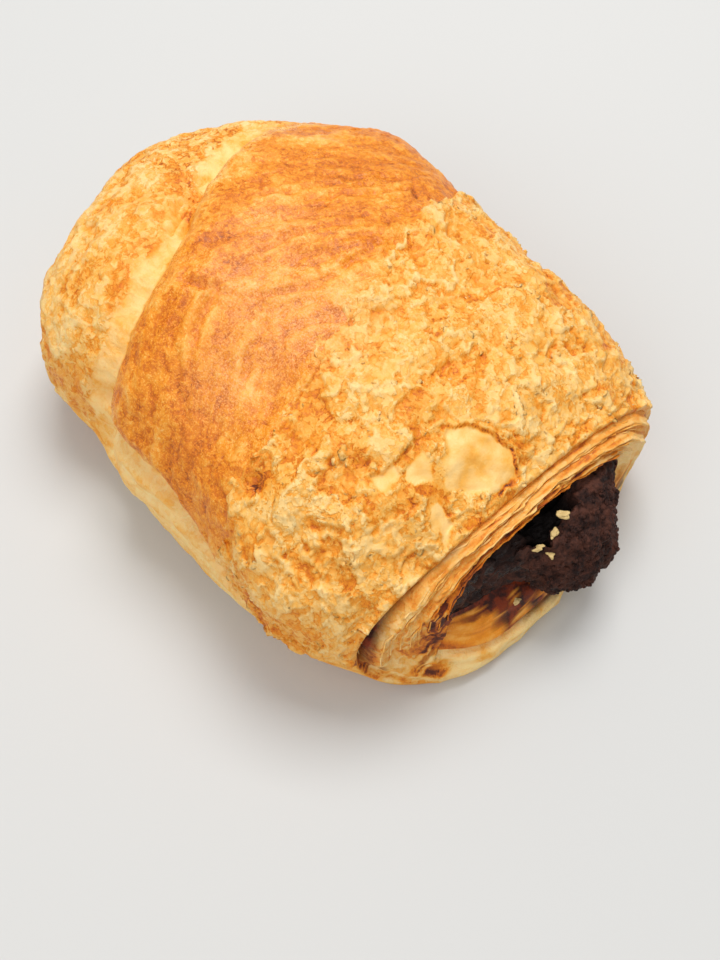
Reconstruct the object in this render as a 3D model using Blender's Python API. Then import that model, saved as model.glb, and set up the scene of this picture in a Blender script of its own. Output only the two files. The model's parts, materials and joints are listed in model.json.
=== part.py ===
"""Pain au chocolat: a laminated dough roll baked round a chocolate filling.

The roll lies on its seam. +X points out of the mouth where the chocolate shows,
-Y is the side with the pale underlayer, +Z is up. The origin is the middle of the
footprint, on the surface that the pastry lies on.

The dough is one skin that runs out along the crust, over the mouth's lip, back along
the filled tunnel and out over the far rim, so it is lofted as a closed chain of rings.
"""

from collections import namedtuple

import bmesh
import bpy
import numpy as np
from mathutils import Vector, noise

MM = 0.001

# Mesh density
RING_POINTS = 84
UNDERSIDE_DENSITY = 0.25
CRUST_RINGS = 46
LIP_RINGS = 11
RIM_RINGS = 4
TUNNEL_RINGS = 5
FILLING_POINTS = 44
LOBE_RINGS = 17

# A section of the roll, in millimetres. top_x, near_x, far_x and low_x say where along the
# roll its top, its -Y side, its +Y side and its underside lie. near, far, top, girth and low
# are how far it reaches. crown and belly are how square it is above and below its girth, and
# skew carries the -Y half of its underside forward.
Section = namedtuple(
    "Section", "top_x near_x far_x low_x near far top girth low crown belly skew"
)


def section(top_x, near_x, far_x, low_x, near, far, top, girth=14, low=-1.5,
            crown=2.3, belly=3.2, skew=0):
    """A section as an array, so that two sections can be blended."""
    return np.array(
        Section(top_x, near_x, far_x, low_x, near, far, top, girth, low, crown, belly, skew),
        float,
    )


# The crust, from the far end to the mouth
CRUST = (
    section(-51.0, -49.5, -50.2, -50.6, near=-8, far=12, top=20, low=6),
    section(-50.4, -46.2, -47.2, -50.0, near=-18, far=18, top=26, low=1.5),
    section(-45.6, -41.2, -41.5, -45.6, near=-30, far=26.5, top=30.5),
    section(-36.0, -32.0, -32.0, -36.0, near=-38.5, far=33.5, top=34.5),
    section(-18.0, -18.0, -17.0, -18.0, near=-40.5, far=39.8, top=39),
    section(1.0, 1.0, 1.0, 1.0, near=-41, far=38.9, top=40),
    section(14.0, 14.0, 14.0, 14.0, near=-41, far=36.6, top=39.2),
    section(25.0, 25.0, 25.0, 25.0, near=-41, far=35.6, top=37.8),
    section(38.0, 38.0, 38.0, 40.0, near=-39, far=33.4, top=33.5),
    section(46.5, 45.5, 47.0, 54.8, near=-34.6, far=30, top=28.8, low=-0.6, skew=3),
)

# The tunnel through the dough, from its far opening to the mouth
TUNNEL = (
    section(-50.3, -49.5, -49.8, -50.2, near=-6, far=9, top=17, girth=13, low=9.5),
    section(-43, -43, -43, -43, near=-10, far=12, top=19, girth=14, low=9),
    section(40, 40, 40, 40, near=-19, far=17.5, top=24.5, girth=17.5, low=11.5),
    section(49.4, 49.5, 50.2, 50.8, near=-20, far=18.5, top=25.5, girth=17, low=11),
)

# The chocolate that has come out of the mouth, beyond the tunnel
LOBE = (
    TUNNEL[-1],
    section(53.0, 51.5, 51.5, 53.8, near=-8.5, far=16.5, top=24, girth=16.5, low=11.3),
    section(56.5, 55.0, 54.5, 57, near=-4.8, far=14.0, top=21, girth=14.5, low=8.4),
    section(59.3, 58.6, 57.8, 58.9, near=-2.0, far=11.2, top=17.5, girth=13, low=8.0),
    section(60.0, 60.0, 59.8, 59.8, near=2.0, far=8, top=14.5, girth=12, low=10.0),
)
FIT_GAP = 0.3

# Relief of the crust
GROOVE_START = Vector((-12.5, -40.0))
GROOVE_END = Vector((-33.0, 12.0))
GROOVE_DEPTH = 3.0
GROOVE_REACH = 4.6
GROOVE_BEND = 2.4
FOLD_STEP = 1.7
FLAKE_STEP = 0.9
BLISTER = 1.3
SWELL = 1.6
SHOULDER_START = Vector((8.0, 30.0))
SHOULDER_END = Vector((36.0, 20.5))
SHOULDER_HEIGHT = 1.1
UNDERLAYER_BULGE = 1.5
UNDERLAYER_CREASE = 1.9
UNDERLAYER_HEIGHT = 5.0
CREASE_LOW = 10.5
CREASE_RISE = 13.0

# Relief of the lip, where the layers were cut
LAMINATION = 0.5
LAYERS = 3
CREVICE_DEPTH = 2.8
TONGUE = 4.9
TONGUE_CREASE = 1.8


def signed_power(value, power):
    return np.sign(value) * np.abs(value) ** power


def outline(shape, angle):
    """The outline of a section as rows of x, y, z, at angles from its +Y side over its top."""
    s = Section(*shape)
    across, up = np.cos(angle), np.sin(angle)
    square = np.where(up > 0, s.crown, s.belly)
    y = (s.near + s.far) / 2 + signed_power(across, 2 / square) * (s.far - s.near) / 2
    rise = np.where(up > 0, s.top - s.girth, s.girth - s.low)
    z = s.girth + signed_power(up, 2 / square) * rise
    x = (
        s.top_x * np.clip(up, 0, 1) ** 2
        + (s.low_x - s.skew * across) * np.clip(up, -1, 0) ** 2
        + s.far_x * np.clip(across, 0, 1) ** 2
        + s.near_x * np.clip(across, -1, 0) ** 2
    )
    return np.stack([x, y, z], axis=1)


def ring_angles(points, underside):
    """Angles that space points evenly round the roll, and wider apart on its flat underside."""
    fine = np.linspace(0, 2 * np.pi, 1441)
    path = outline(CRUST[5], fine)
    steps = np.linalg.norm(np.diff(path, axis=0), axis=1)
    steps *= np.where(path[1:, 2] > 2, 1, underside)
    place = np.concatenate([[0], np.cumsum(steps)])
    return np.interp(np.linspace(0, place[-1], points, endpoint=False), place, fine)


def dough_ring(shape):
    return outline(shape, ring_angles(RING_POINTS, UNDERSIDE_DENSITY))


def filling_ring(shape):
    return outline(shape, ring_angles(FILLING_POINTS, 1))


def blend_sections(stations, count):
    """Sections spaced evenly on a smooth curve through the stations, ends included."""
    stations = np.array(stations)
    steps = np.linalg.norm(np.diff(stations[:, :9], axis=0), axis=1)
    place = np.concatenate([[0], np.cumsum(steps)])
    slope = np.gradient(stations, place, axis=0)
    made = []
    for at in np.linspace(0, place[-1], count):
        i = min(int(np.searchsorted(place, at, side="right")) - 1, len(steps) - 1)
        span = place[i + 1] - place[i]
        t = (at - place[i]) / span
        made.append(
            (2 * t**3 - 3 * t**2 + 1) * stations[i]
            + (t**3 - 2 * t**2 + t) * span * slope[i]
            + (3 * t**2 - 2 * t**3) * stations[i + 1]
            + (t**3 - t**2) * span * slope[i + 1]
        )
    return made


def smooth_step(value):
    value = np.clip(value, 0, 1)
    return value * value * (3 - 2 * value)


def bump(value, centre, reach):
    """One at the centre, falling to nothing over a few reaches."""
    return np.exp(-(((value - centre) / reach) ** 2))


def wander(point, size, seed):
    """Smooth noise between about -1 and 1, with features of the given size."""
    return noise.noise(Vector(point) / size + Vector((seed, 0, 0)))


def flake_edge(y):
    """Where along the roll the flaky skin starts, for a place across it."""
    return 8 - 0.31 * y


def beside(point, start, end):
    """How far along a line in plan a point lies, as a share, and how far to its side."""
    line = end - start
    offset = Vector(point[:2]) - start
    return offset.dot(line) / line.length_squared, offset.cross(line) / line.length


def crust_relief(point):
    """How far the crust stands out at a point of its smooth form, in millimetres."""
    on_top = smooth_step((point[2] - 6) / 8)
    share, side = beside(point, GROOVE_START, GROOVE_END)
    side += 1.6 * wander(point, 14, 3) + GROOVE_BEND * smooth_step((share - 0.3) / 0.5)
    fade = smooth_step((1.12 - share) / 0.25)
    groove = -GROOVE_DEPTH * bump(side, 0, GROOVE_REACH * (1.1 - 0.5 * share)) * fade
    fold = FOLD_STEP * smooth_step((side - 1) / 3) * bump(side, 4, 12) * fade
    ragged = point[0] - flake_edge(point[1]) + 2.2 * wander(point, 7, 11)
    flaky = smooth_step(ragged / 1.6)
    blisters = BLISTER * (0.35 + 0.65 * flaky) * wander(point, 6.5, 7)
    swell = SWELL * wander(point, 22, 19)
    share, side = beside(point, SHOULDER_START, SHOULDER_END)
    shoulder = SHOULDER_HEIGHT * bump(side, 0, 2.6) * bump(share, 0.5, 0.45)
    return (groove + fold + FLAKE_STEP * flaky + blisters + swell + shoulder) * on_top


def underlayer(point):
    """How far the -Y side stands out: the pale dough bulges below the crust's lower edge."""
    x, _, z = point
    length = smooth_step((x + 19) / 7) * smooth_step((34 - x) / 16)
    bulge = UNDERLAYER_BULGE * bump(z, UNDERLAYER_HEIGHT, 3.4)
    crease_height = CREASE_LOW + CREASE_RISE * smooth_step((27 - x) / 28)
    crease = UNDERLAYER_CREASE * bump(z, crease_height, 2.7)
    return length * (bulge - crease)


def normals_of(rings):
    """Outward directions of a grid of rings, each a row of points."""
    around = np.roll(rings, -1, axis=1) - np.roll(rings, 1, axis=1)
    along = np.gradient(rings, axis=0)
    normal = np.cross(around, along)
    return normal / np.maximum(np.linalg.norm(normal, axis=2, keepdims=True), 1e-9)


def crust_rings():
    rings = np.array([dough_ring(shape) for shape in blend_sections(CRUST, CRUST_RINGS)])
    normal = normals_of(rings)
    for i, j in np.ndindex(rings.shape[:2]):
        point = rings[i, j]
        ends = smooth_step(i / 3) * smooth_step((CRUST_RINGS - 1 - i) / 2)
        out = crust_relief(point) * ends * smooth_step((point[2] - 4) / 6)
        if normal[i, j, 1] < -0.3 and point[2] < 30:
            out += underlayer(point)
        rings[i, j] = point + normal[i, j] * out
    return rings


def lip_rings(outer, inner, count):
    """The cut layers from the crust's edge to the opening, as ridges that follow the lip."""
    angle = ring_angles(RING_POINTS, UNDERSIDE_DENSITY)
    upper = np.clip(np.sin(angle), 0, 1)
    lower = np.clip(-np.sin(angle), 0, 1)
    far_side = np.clip(np.cos(angle), 0, 1) ** 2
    crevice_side = bump(angle, np.radians(158), np.radians(32))
    side = outer[:, 1]
    tongue = 0.2 + 0.8 * smooth_step((4 - side) / 9) * smooth_step((side + 33) / 9)
    tongue *= lower**2
    away = (outer - outer.mean(axis=0)) * (0, 1, 1)
    away = away / np.linalg.norm(away, axis=1, keepdims=True) * (1 - lower[:, None]) * 0.7
    forward = np.array([1.0, 0.0, 0.0])
    made = []
    for k in range(1, count + 1):
        t = k / (count + 1)
        points = outer + (inner - outer) * t
        ridge = -LAMINATION * np.cos(2 * np.pi * LAYERS * t) * (1 - 0.5 * lower)
        crest = (1.1 * upper + 1.2 * far_side) * np.sin(np.pi * t)
        points = points + (forward + away) * (ridge + crest)[:, None]
        crevice = CREVICE_DEPTH * crevice_side * bump(t, 0.1, 0.08)
        roll = TONGUE * np.sin(np.pi * t) ** 0.7 * (1 - 0.3 * t) - TONGUE_CREASE * bump(t, 0.5, 0.09)
        points[:, 0] += tongue * roll - crevice
        made.append(points)
    return made


def dough_rings():
    """The whole chain of rings: crust, mouth lip, tunnel and far rim."""
    crust = crust_rings()
    tunnel = np.array([dough_ring(shape) for shape in blend_sections(TUNNEL, TUNNEL_RINGS)])
    chain = [*crust, *lip_rings(crust[-1], tunnel[-1], LIP_RINGS), *tunnel[::-1]]
    for k in range(1, RIM_RINGS + 1):
        t = k / (RIM_RINGS + 1)
        points = tunnel[0] + (crust[0] - tunnel[0]) * t
        points[:, 0] -= 1.2 * np.sin(np.pi * t) + LAMINATION * (1 if k % 2 else -1)
        chain.append(points)
    chain = np.array(chain)
    chain[..., 2] = np.maximum(chain[..., 2], 0)
    return chain


def filling_rings():
    """The chocolate: the tunnel's own form less the gap that it keeps, then the lobe."""
    inside = blend_sections(TUNNEL, TUNNEL_RINGS)[:-1]
    outside = blend_sections(LOBE, LOBE_RINGS)
    rings = np.array([filling_ring(shape) for shape in [*inside, *outside]])
    normal = normals_of(rings)
    for i, j in np.ndindex(rings.shape[:2]):
        point = rings[i, j]
        free = smooth_step((point[0] - 54) / 3)
        lump = 1.4 * wander(point, 5, 31) * free
        rings[i, j] = point + normal[i, j] * (lump - FIT_GAP)
    return rings


def skin(name, rings, closed, collection):
    """One closed mesh object over a chain of rings, capped at its ends unless the chain closes."""
    mesh = bmesh.new()
    rows = [[mesh.verts.new(point * MM) for point in points] for points in rings]
    pairs = list(zip(rows, rows[1:] + rows[:1])) if closed else list(zip(rows, rows[1:]))
    for first, second in pairs:
        for j in range(len(first)):
            k = (j + 1) % len(first)
            mesh.faces.new((first[j], first[k], second[k], second[j]))
    if not closed:
        for row in (rows[0], rows[-1]):
            middle = sum((vert.co for vert in row), Vector()) / len(row)
            pole = mesh.verts.new(middle)
            for j in range(len(row)):
                mesh.faces.new((row[j], row[(j + 1) % len(row)], pole))
    bmesh.ops.recalc_face_normals(mesh, faces=mesh.faces)
    data = bpy.data.meshes.new(name)
    mesh.to_mesh(data)
    mesh.free()
    data.shade_smooth()
    made = bpy.data.objects.new(name, data)
    collection.objects.link(made)
    return made


def finish(name, colour, roughness):
    material = bpy.data.materials.new(name)
    material.use_nodes = True
    shader = material.node_tree.nodes["Principled BSDF"]
    shader.inputs["Base Color"].default_value = (*colour, 1)
    shader.inputs["Roughness"].default_value = roughness
    shader.inputs["Metallic"].default_value = 0
    return material


def centred(dough, filling):
    """Both sets of rings, moved so that the origin is the middle of the footprint."""
    points = np.concatenate([dough.reshape(-1, 3), filling.reshape(-1, 3)])
    middle = (points.min(axis=0) + points.max(axis=0)) / 2 * (1, 1, 0)
    return dough - middle, filling - middle


def main():
    for old in list(bpy.data.objects):
        bpy.data.objects.remove(old)
    collection = bpy.data.collections.new("pain_au_chocolat")
    bpy.context.scene.collection.children.link(collection)
    dough, chocolate = centred(dough_rings(), filling_rings())
    pastry = skin("pastry", dough, True, collection)
    pastry.data.materials.append(finish("baked_dough", (0.62, 0.29, 0.08), 0.5))
    filling = skin("chocolate_filling", chocolate, False, collection)
    filling.data.materials.append(finish("chocolate", (0.035, 0.016, 0.010), 0.45))


main()
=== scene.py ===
"""Looks of a pain au chocolat: glazed crust, flaky crust, cut layers, loose flakes and chocolate.

The file is laid out as a Blender add-on and is run as a script. Lengths inside it are in
millimetres in the roll's own frame, the one that its sections are drawn in: +X out of the
open end, -Y to the side with the pale lower layer, +Z up.
"""

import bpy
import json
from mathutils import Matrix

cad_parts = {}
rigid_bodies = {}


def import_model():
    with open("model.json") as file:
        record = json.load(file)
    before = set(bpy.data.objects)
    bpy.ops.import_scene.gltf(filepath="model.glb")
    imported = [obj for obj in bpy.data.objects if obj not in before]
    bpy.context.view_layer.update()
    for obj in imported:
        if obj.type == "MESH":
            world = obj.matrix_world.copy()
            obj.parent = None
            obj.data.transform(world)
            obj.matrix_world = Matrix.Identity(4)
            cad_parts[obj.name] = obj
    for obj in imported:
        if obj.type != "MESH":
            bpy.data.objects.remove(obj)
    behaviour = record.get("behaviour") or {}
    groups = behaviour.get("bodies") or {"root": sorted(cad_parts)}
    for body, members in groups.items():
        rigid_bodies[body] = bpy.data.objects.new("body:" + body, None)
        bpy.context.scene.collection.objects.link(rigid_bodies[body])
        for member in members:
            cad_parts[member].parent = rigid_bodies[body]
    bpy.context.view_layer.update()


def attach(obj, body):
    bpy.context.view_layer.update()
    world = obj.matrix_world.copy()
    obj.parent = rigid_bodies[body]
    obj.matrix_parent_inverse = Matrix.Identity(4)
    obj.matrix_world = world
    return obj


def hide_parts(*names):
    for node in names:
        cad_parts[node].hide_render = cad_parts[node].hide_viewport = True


bl_info = {
    "name": "Pain au chocolat",
    "version": (1, 0, 0),
    "blender": (4, 5, 0),
    "location": "3D Viewport > Sidebar > Pastry",
    "description": "Dresses a pain au chocolat with crust, flakes, cut layers and chocolate",
    "category": "Object",
}

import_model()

import json
import math
from collections import namedtuple

import bmesh
import bpy
import numpy as np
from bpy.props import FloatProperty, FloatVectorProperty, IntProperty, PointerProperty
from bpy.types import Operator, Panel, PropertyGroup
from mathutils import Vector, noise

MM = 0.001

# The middle of the footprint in the roll's own frame
FOOTPRINT_MIDDLE = np.array((4.13987, -1.1081, 0.0))

# The photograph's viewpoint
VIEW_AZIMUTH = 48.0
VIEW_ELEVATION = 60.0
VIEW_PLACE = np.array((90.43, -74.314, 172.0))
VIEW_LENS = 41.25

# Mesh density: points round a ring, and rings along each part of the skin and the flaky crust
AROUND = 336
UNDERSIDE_DENSITY = 0.14
FAR_END_RINGS = 28
TOP_RINGS = 142
FRONT_RINGS = 26
LIP_RINGS = 54
TUNNEL_RINGS = 5
RIM_RINGS = 12
SHELL_AROUND = 460
SHELL_ALONG = 210

# The filling's rings: at shares of the tunnel's length, along the lobe, and at shares of the way
# to the middle of its end. The last few face straight forward, and a few more carry crumbs.
FILLING_AROUND = 230
FILLING_SHARES = (0, 0.3, 0.6, 0.85, 0.90, 0.93, 0.95, 0.96, 0.97, 0.98, 0.99)
LOBE_RINGS = 200
CAP_SHARES = (0.2, 0.4, 0.6, 0.8, 0.96)
CAP_FACING_RINGS = 3
CRUMBLY_END_RINGS = 8

# Where the flaky crust leaves the underside free, and where the cut layers start and end, in
# degrees round the roll
SHELL_GAP = (205, 335)
CUT_LAYER_ANGLES = (34, 184)
CUT_LAYER_POINTS = 400
CUT_LAYER_SHARES = np.linspace(0.1, 0.96, 9)

Section = namedtuple(
    "Section", "top_x near_x far_x low_x near far top girth low crown belly skew"
)


def section(top_x, near_x, far_x, low_x, near, far, top, girth=14, low=-1.5,
            crown=2.3, belly=3.2, skew=0):
    """A section of the roll as an array, so that two sections can be blended."""
    return np.array(
        Section(top_x, near_x, far_x, low_x, near, far, top, girth, low, crown, belly, skew),
        float,
    )


# The crust, from the far end to the mouth
CRUST = (
    section(-51.0, -49.5, -50.2, -50.6, near=-8, far=12, top=20, low=6),
    section(-50.4, -46.2, -47.2, -50.0, near=-18, far=18, top=26, low=1.5),
    section(-45.6, -41.2, -41.5, -45.6, near=-30, far=26.5, top=30.5),
    section(-36.0, -32.0, -32.0, -36.0, near=-38.5, far=33.5, top=34.5),
    section(-18.0, -18.0, -17.0, -18.0, near=-40.5, far=39.8, top=39),
    section(1.0, 1.0, 1.0, 1.0, near=-41, far=38.9, top=40),
    section(14.0, 14.0, 14.0, 14.0, near=-41, far=36.6, top=39.2),
    section(25.0, 25.0, 25.0, 25.0, near=-41, far=35.6, top=37.8),
    section(38.0, 38.0, 38.0, 40.0, near=-39, far=33.4, top=33.5),
    section(46.5, 45.5, 47.0, 54.8, near=-34.6, far=30, top=28.8, low=-0.6, skew=3),
)

# The tunnel through the dough, from its far opening to the mouth
TUNNEL = (
    section(-50.3, -49.5, -49.8, -50.2, near=-6, far=9, top=17, girth=13, low=9.5),
    section(-43, -43, -43, -43, near=-10, far=12, top=19, girth=14, low=9),
    section(40, 40, 40, 40, near=-19, far=17.5, top=24.5, girth=17.5, low=11.5),
    section(49.4, 49.5, 50.2, 50.8, near=-20, far=18.5, top=25.5, girth=17, low=11),
)

# The chocolate that has come out of the mouth, beyond the tunnel
LOBE = (
    TUNNEL[-1],
    section(53.0, 51.5, 51.5, 53.8, near=-8.5, far=16.5, top=24, girth=16.5, low=11.3),
    section(56.5, 55.0, 54.5, 57, near=-4.8, far=14.0, top=21, girth=14.5, low=8.4),
    section(59.3, 58.6, 57.8, 58.9, near=-2.0, far=11.2, top=17.5, girth=13, low=8.0),
    section(60.0, 60.0, 59.8, 59.8, near=2.0, far=8, top=14.5, girth=12, low=10.0),
)
FIT_GAP = 0.3
HOLLOW_DEPTH = 4.6

# Relief of the crust and of the lip, nearly as the solids have it: here the crust's lower edge
# is sharper and a little lower beside the groove, and the groove's bend is tighter
GROOVE_START = np.array((-12.5, -40.0))
GROOVE_END = np.array((-33.0, 12.0))
GROOVE_DEPTH = 3.0
GROOVE_REACH = 4.6
FOLD_STEP = 1.7
FLAKE_STEP = 0.9
BLISTER = 1.3
SWELL = 1.6
SHOULDER_START = np.array((8.0, 30.0))
SHOULDER_END = np.array((36.0, 20.5))
SHOULDER_HEIGHT = 1.1
UNDERLAYER_BULGE = 1.5
UNDERLAYER_CREASE = 2.3
UNDERLAYER_HEIGHT = 5.0
CREASE_LOW = 10.5
CREASE_RISE = 11.0
LAMINATION = 0.5
LAYERS = 3
CREVICE_DEPTH = 2.8
TONGUE = 4.9
TONGUE_CREASE = 1.8
CRUST_RING_STEPS = 45

# Base browning of each part of the dough, from 0 raw to 1 nearly burnt; past its soft limit the
# glaze browns less quickly
GLAZE_TONE = 0.60
LOBE_TONE = 0.44
GROOVE_TONE = 0.24
GOLDEN_EDGE_TONE = 0.49
GLAZE_SOFT_LIMIT = 0.62
UNDERLAYER_TONE = 0.19
LOW_SIDE_TONE = 0.44
LIP_TONE = 0.37
ROLL_TONE = 0.05
FLAKY_TONE = 0.485
BARE_TONE = 0.26

# Roughness where a finish is dull and where it is glossy, and how strongly it mirrors
CRUST_ROUGHNESS = (0.70, 0.27)
CHOCOLATE_ROUGHNESS = (0.72, 0.16)
CRUST_SPECULAR = 0.30
CHOCOLATE_SPECULAR = 0.20

# How much light spreads inside thick dough, and how far in red, green and blue and in
# millimetres; the thinner pieces have none
CRUST_GLOW = 0.15
GLOW_COLOURS = (1.0, 0.42, 0.16)
GLOW_REACH = 0.9

# Depth of the finest grain, which only the materials show, in millimetres
CRUST_GRAIN = 0.16
CHOCOLATE_GRAIN = 0.22

# The stage: tones of the floor and the room, and lights with their place and size in metres
FLOOR_TONE = (0.62, 0.62, 0.61, 1)
FLOOR_HALF_WIDTH = 1.5
ROOM_TONE = (1.0, 0.985, 0.96, 1)
ROOM_STRENGTH = 0.46
Light = namedtuple("Light", "name place size power")
LIGHTS = (
    Light("window", (-0.16, 0.26, 0.72), 0.40, 4.5),
    Light("fill", (0.12, -0.50, 0.55), 0.60, 1.8),
)

# Small slits in the crust: place, length, direction in plan in degrees, depth
Slit = namedtuple("Slit", "x y length turn depth")
SLITS = (
    Slit(-33.4, -26.7, 2.2, 100, 1.3),
    Slit(-38.0, -20.9, 1.6, 70, 1.0),
    Slit(-29.6, -6.1, 5.0, 112, 1.6),
    Slit(-3.5, 22.3, 3.0, 150, 0.6),
)

# Patches that baked darker or stayed paler than the skin round them: place, reach, browning
Patch = namedtuple("Patch", "x y reach browning")
GLAZED_PATCHES = (
    Patch(-7.0, -30.0, 3.0, 0.09),
    Patch(5.0, -34.0, 6.0, 0.05),
    Patch(11.0, -38.0, 5.0, 0.10),
    Patch(-19.0, 9.0, 9.0, -0.07),
    Patch(-1.0, 20.0, 8.0, 0.08),
    Patch(-14.0, -24.0, 2.5, 0.05),
    Patch(-2.0, 5.0, 6.0, 0.04),
    Patch(-38.0, -24.0, 5.0, 0.10),
    Patch(3.0, -30.0, 4.0, 0.06),
    Patch(-5.0, -20.0, 5.0, -0.05),
    Patch(-12.0, 22.0, 10.0, 0.06),
)
# Pits in the flaky crust: place, reach, browning; the browning both sinks a pit and darkens it as painted
# shade
FLAKY_PITS = (
    Patch(20.0, -31.9, 1.9, 0.35),
    Patch(26.9, -22.7, 0.8, 0.40),
    Patch(19.5, -12.0, 0.7, 0.25),
    Patch(31.0, -30.0, 1.2, 0.20),
)

# Long wrinkles of the glazed crust, as lines in plan
WRINKLES = (
    ((-11.3, -19.9), (-2.4, -14.6), (0.3, -10.6), (3.9, -4.3), (4.3, 1.7), (3.5, 7.8)),
    ((-2.1, -25.0), (-4.9, -21.0), (-7.1, -16.1)),
    ((6.9, -22.5), (4.1, -18.9), (3.0, -15.1)),
    ((-7.7, -6.9), (-6.2, -0.4), (-3.1, 5.1), (-0.3, 9.1)),
    ((-16.0, 1.0), (-12.5, 8.0), (-11.0, 14.0)),
    ((-9.5, 9.0), (-6.0, 15.0), (-4.5, 21.0)),
)
WRINKLE_DEPTH = 0.75

# The finer wrinkles run along lines that bend at this place across the roll
WRINKLE_SLANT = 0.5
WRINKLE_TURN = -14.0

# Broad, low swellings and dents of the crust: place, reach and height in millimetres
Swelling = namedtuple("Swelling", "x y z reach height")
SWELLINGS = (
    Swelling(-20.0, 32.0, 27.0, 9.0, 1.1),
    Swelling(4.0, 34.0, 24.0, 7.0, -1.4),
    Swelling(-36.0, -34.0, 12.0, 9.0, -0.7),
    Swelling(-20.0, -42.0, 8.0, 8.0, -0.6),
)

# The pale crumbs: place in plan, size and direction in degrees
Crumb = namedtuple("Crumb", "x y size turn")
PALE_CRUMBS = (
    Crumb(52.8, 1.6, 2.0, 20),
    Crumb(53.2, -1.2, 1.7, 100),
    Crumb(53.1, -3.4, 1.6, 60),
    Crumb(54.6, -3.0, 1.7, -20),
    Crumb(54.3, -8.2, 1.5, 80),
)

# Where the glaze takes a little pink as a painted sheen
SHEEN_PATCHES = (
    Patch(9.0, -9.0, 8.0, 0.8),
    Patch(6.0, -24.0, 7.0, 0.7),
    Patch(-4.0, -13.0, 7.0, 0.6),
    Patch(-9.0, -2.0, 6.0, 0.5),
)

# The smooth patch where a sheet of skin has lifted off, by its corners in plan, clockwise
WINDOW = (
    (33.0, -6.9), (35.6, -3.4), (38.6, -1.4), (41.9, -0.4), (44.8, -1.6), (45.0, -6.0),
    (43.0, -10.6), (39.6, -13.0),
)
WINDOW_CURL_LIMIT = -7.5

# Small smooth patches beside it, by their corners
BARE_SPOTS = (
    ((33.6, -12.2), (35.8, -10.6), (38.0, -13.6), (37.2, -15.8), (34.6, -15.0)),
    ((32.4, -18.2), (34.2, -16.4), (36.2, -18.6), (35.0, -20.4)),
    ((40.4, -15.8), (43.8, -13.6), (45.2, -16.8), (42.4, -18.8)),
    ((12.6, -16.4), (13.8, -14.8), (15.0, -16.4), (13.6, -17.6)),
)

# The glazed sheet's edge along the groove, and the place where it folds over the groove
SHEET_EDGE = 1.6
SHEET_STEP = 0.5
FOLD_OVER = (-27.4, -8.6, 2.6, 3.0)
BAND_HALF_WIDTH = 2.7
GROOVE_BEND = 2.4
GROOVE_CREASES = (
    ((-24.6, -13.0), (-26.2, -10.4), (-27.2, -8.4), (-28.8, -5.6), (-29.6, -3.0)),
    ((-22.9, -12.0), (-25.4, -8.6), (-27.4, -5.4), (-29.1, -2.4), (-30.4, 1.0)),
)

# The mouth: where the upper strap of dough ends over the lower lip, in degrees round the lip,
# at the opening and at the crust's edge
STRAP_END_INNER = 206
STRAP_END_OUTER = 240
STRAP_LIFT = 1.3

# Thin layers that the strap of dough over the mouth is made of
FINE_LAYERS = 9


def smooth_step(value):
    value = np.clip(value, 0, 1)
    return value * value * (3 - 2 * value)


def bump(value, centre, reach):
    """One at the centre, falling to nothing over a few reaches."""
    return np.exp(-(((value - centre) / reach) ** 2))


def signed_power(value, power):
    return np.sign(value) * np.abs(value) ** power


def wander(points, size, seed):
    """Smooth noise at each point, between about -1 and 1, with features of the given size."""
    places = (points.reshape(-1, 3) / size + (seed, 0, 0)).tolist()
    values = np.fromiter((noise.noise(place) for place in places), float, len(places))
    return values.reshape(points.shape[:-1])


def layered(points, size, seed, octaves=3):
    """Noise with finer noise added on top, each octave half the size and half the height."""
    return sum(wander(points, size / 2**k, seed + 17 * k) / 2**k for k in range(octaves))


def sway(points, size, seed):
    """Offsets in plan, from two noises, that bend the places which a pattern is drawn from."""
    first, second = wander(points, size, seed), wander(points, size, seed + 2)
    return np.stack([first, second, 0 * first], -1)


def bubbles(points, size, seed):
    """Rounded cells of the given size: one at the middle of each, nothing at its edge."""
    places = (points.reshape(-1, 3) / size + (seed, 0, 0)).tolist()
    reach = np.fromiter((noise.voronoi(place)[0][0] for place in places), float, len(places))
    return np.clip(1 - reach.reshape(points.shape[:-1]) / 0.75, 0, 1) ** 0.7


def along_groove(points, across_size, along_size):
    """Points squeezed so that noise on them runs in streaks along the groove."""
    way = (GROOVE_END - GROOVE_START) / np.linalg.norm(GROOVE_END - GROOVE_START)
    along = points[..., 0] * way[0] + points[..., 1] * way[1]
    across = points[..., 0] * way[1] - points[..., 1] * way[0]
    return np.stack([across / across_size, along / along_size, points[..., 2] / across_size], -1)


def outline(shape, angle):
    """The outline of a section as rows of x, y, z, at angles from its +Y side over its top."""
    s = Section(*shape)
    across, up = np.cos(angle), np.sin(angle)
    square = np.where(up > 0, s.crown, s.belly)
    y = (s.near + s.far) / 2 + signed_power(across, 2 / square) * (s.far - s.near) / 2
    rise = np.where(up > 0, s.top - s.girth, s.girth - s.low)
    z = s.girth + signed_power(up, 2 / square) * rise
    x = (
        s.top_x * np.clip(up, 0, 1) ** 2
        + (s.low_x - s.skew * across) * np.clip(up, -1, 0) ** 2
        + s.far_x * np.clip(across, 0, 1) ** 2
        + s.near_x * np.clip(across, -1, 0) ** 2
    )
    return np.stack([x, y, z], axis=1)


def ring_angles(points, underside):
    """Angles that space points evenly round the roll, and wider apart on its flat underside."""
    fine = np.linspace(0, 2 * np.pi, 1441)
    path = outline(CRUST[5], fine)
    steps = np.linalg.norm(np.diff(path, axis=0), axis=1)
    steps *= np.where(path[1:, 2] > 2, 1, underside)
    place = np.concatenate([[0], np.cumsum(steps)])
    return np.interp(np.linspace(0, place[-1], points, endpoint=False), place, fine)


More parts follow.
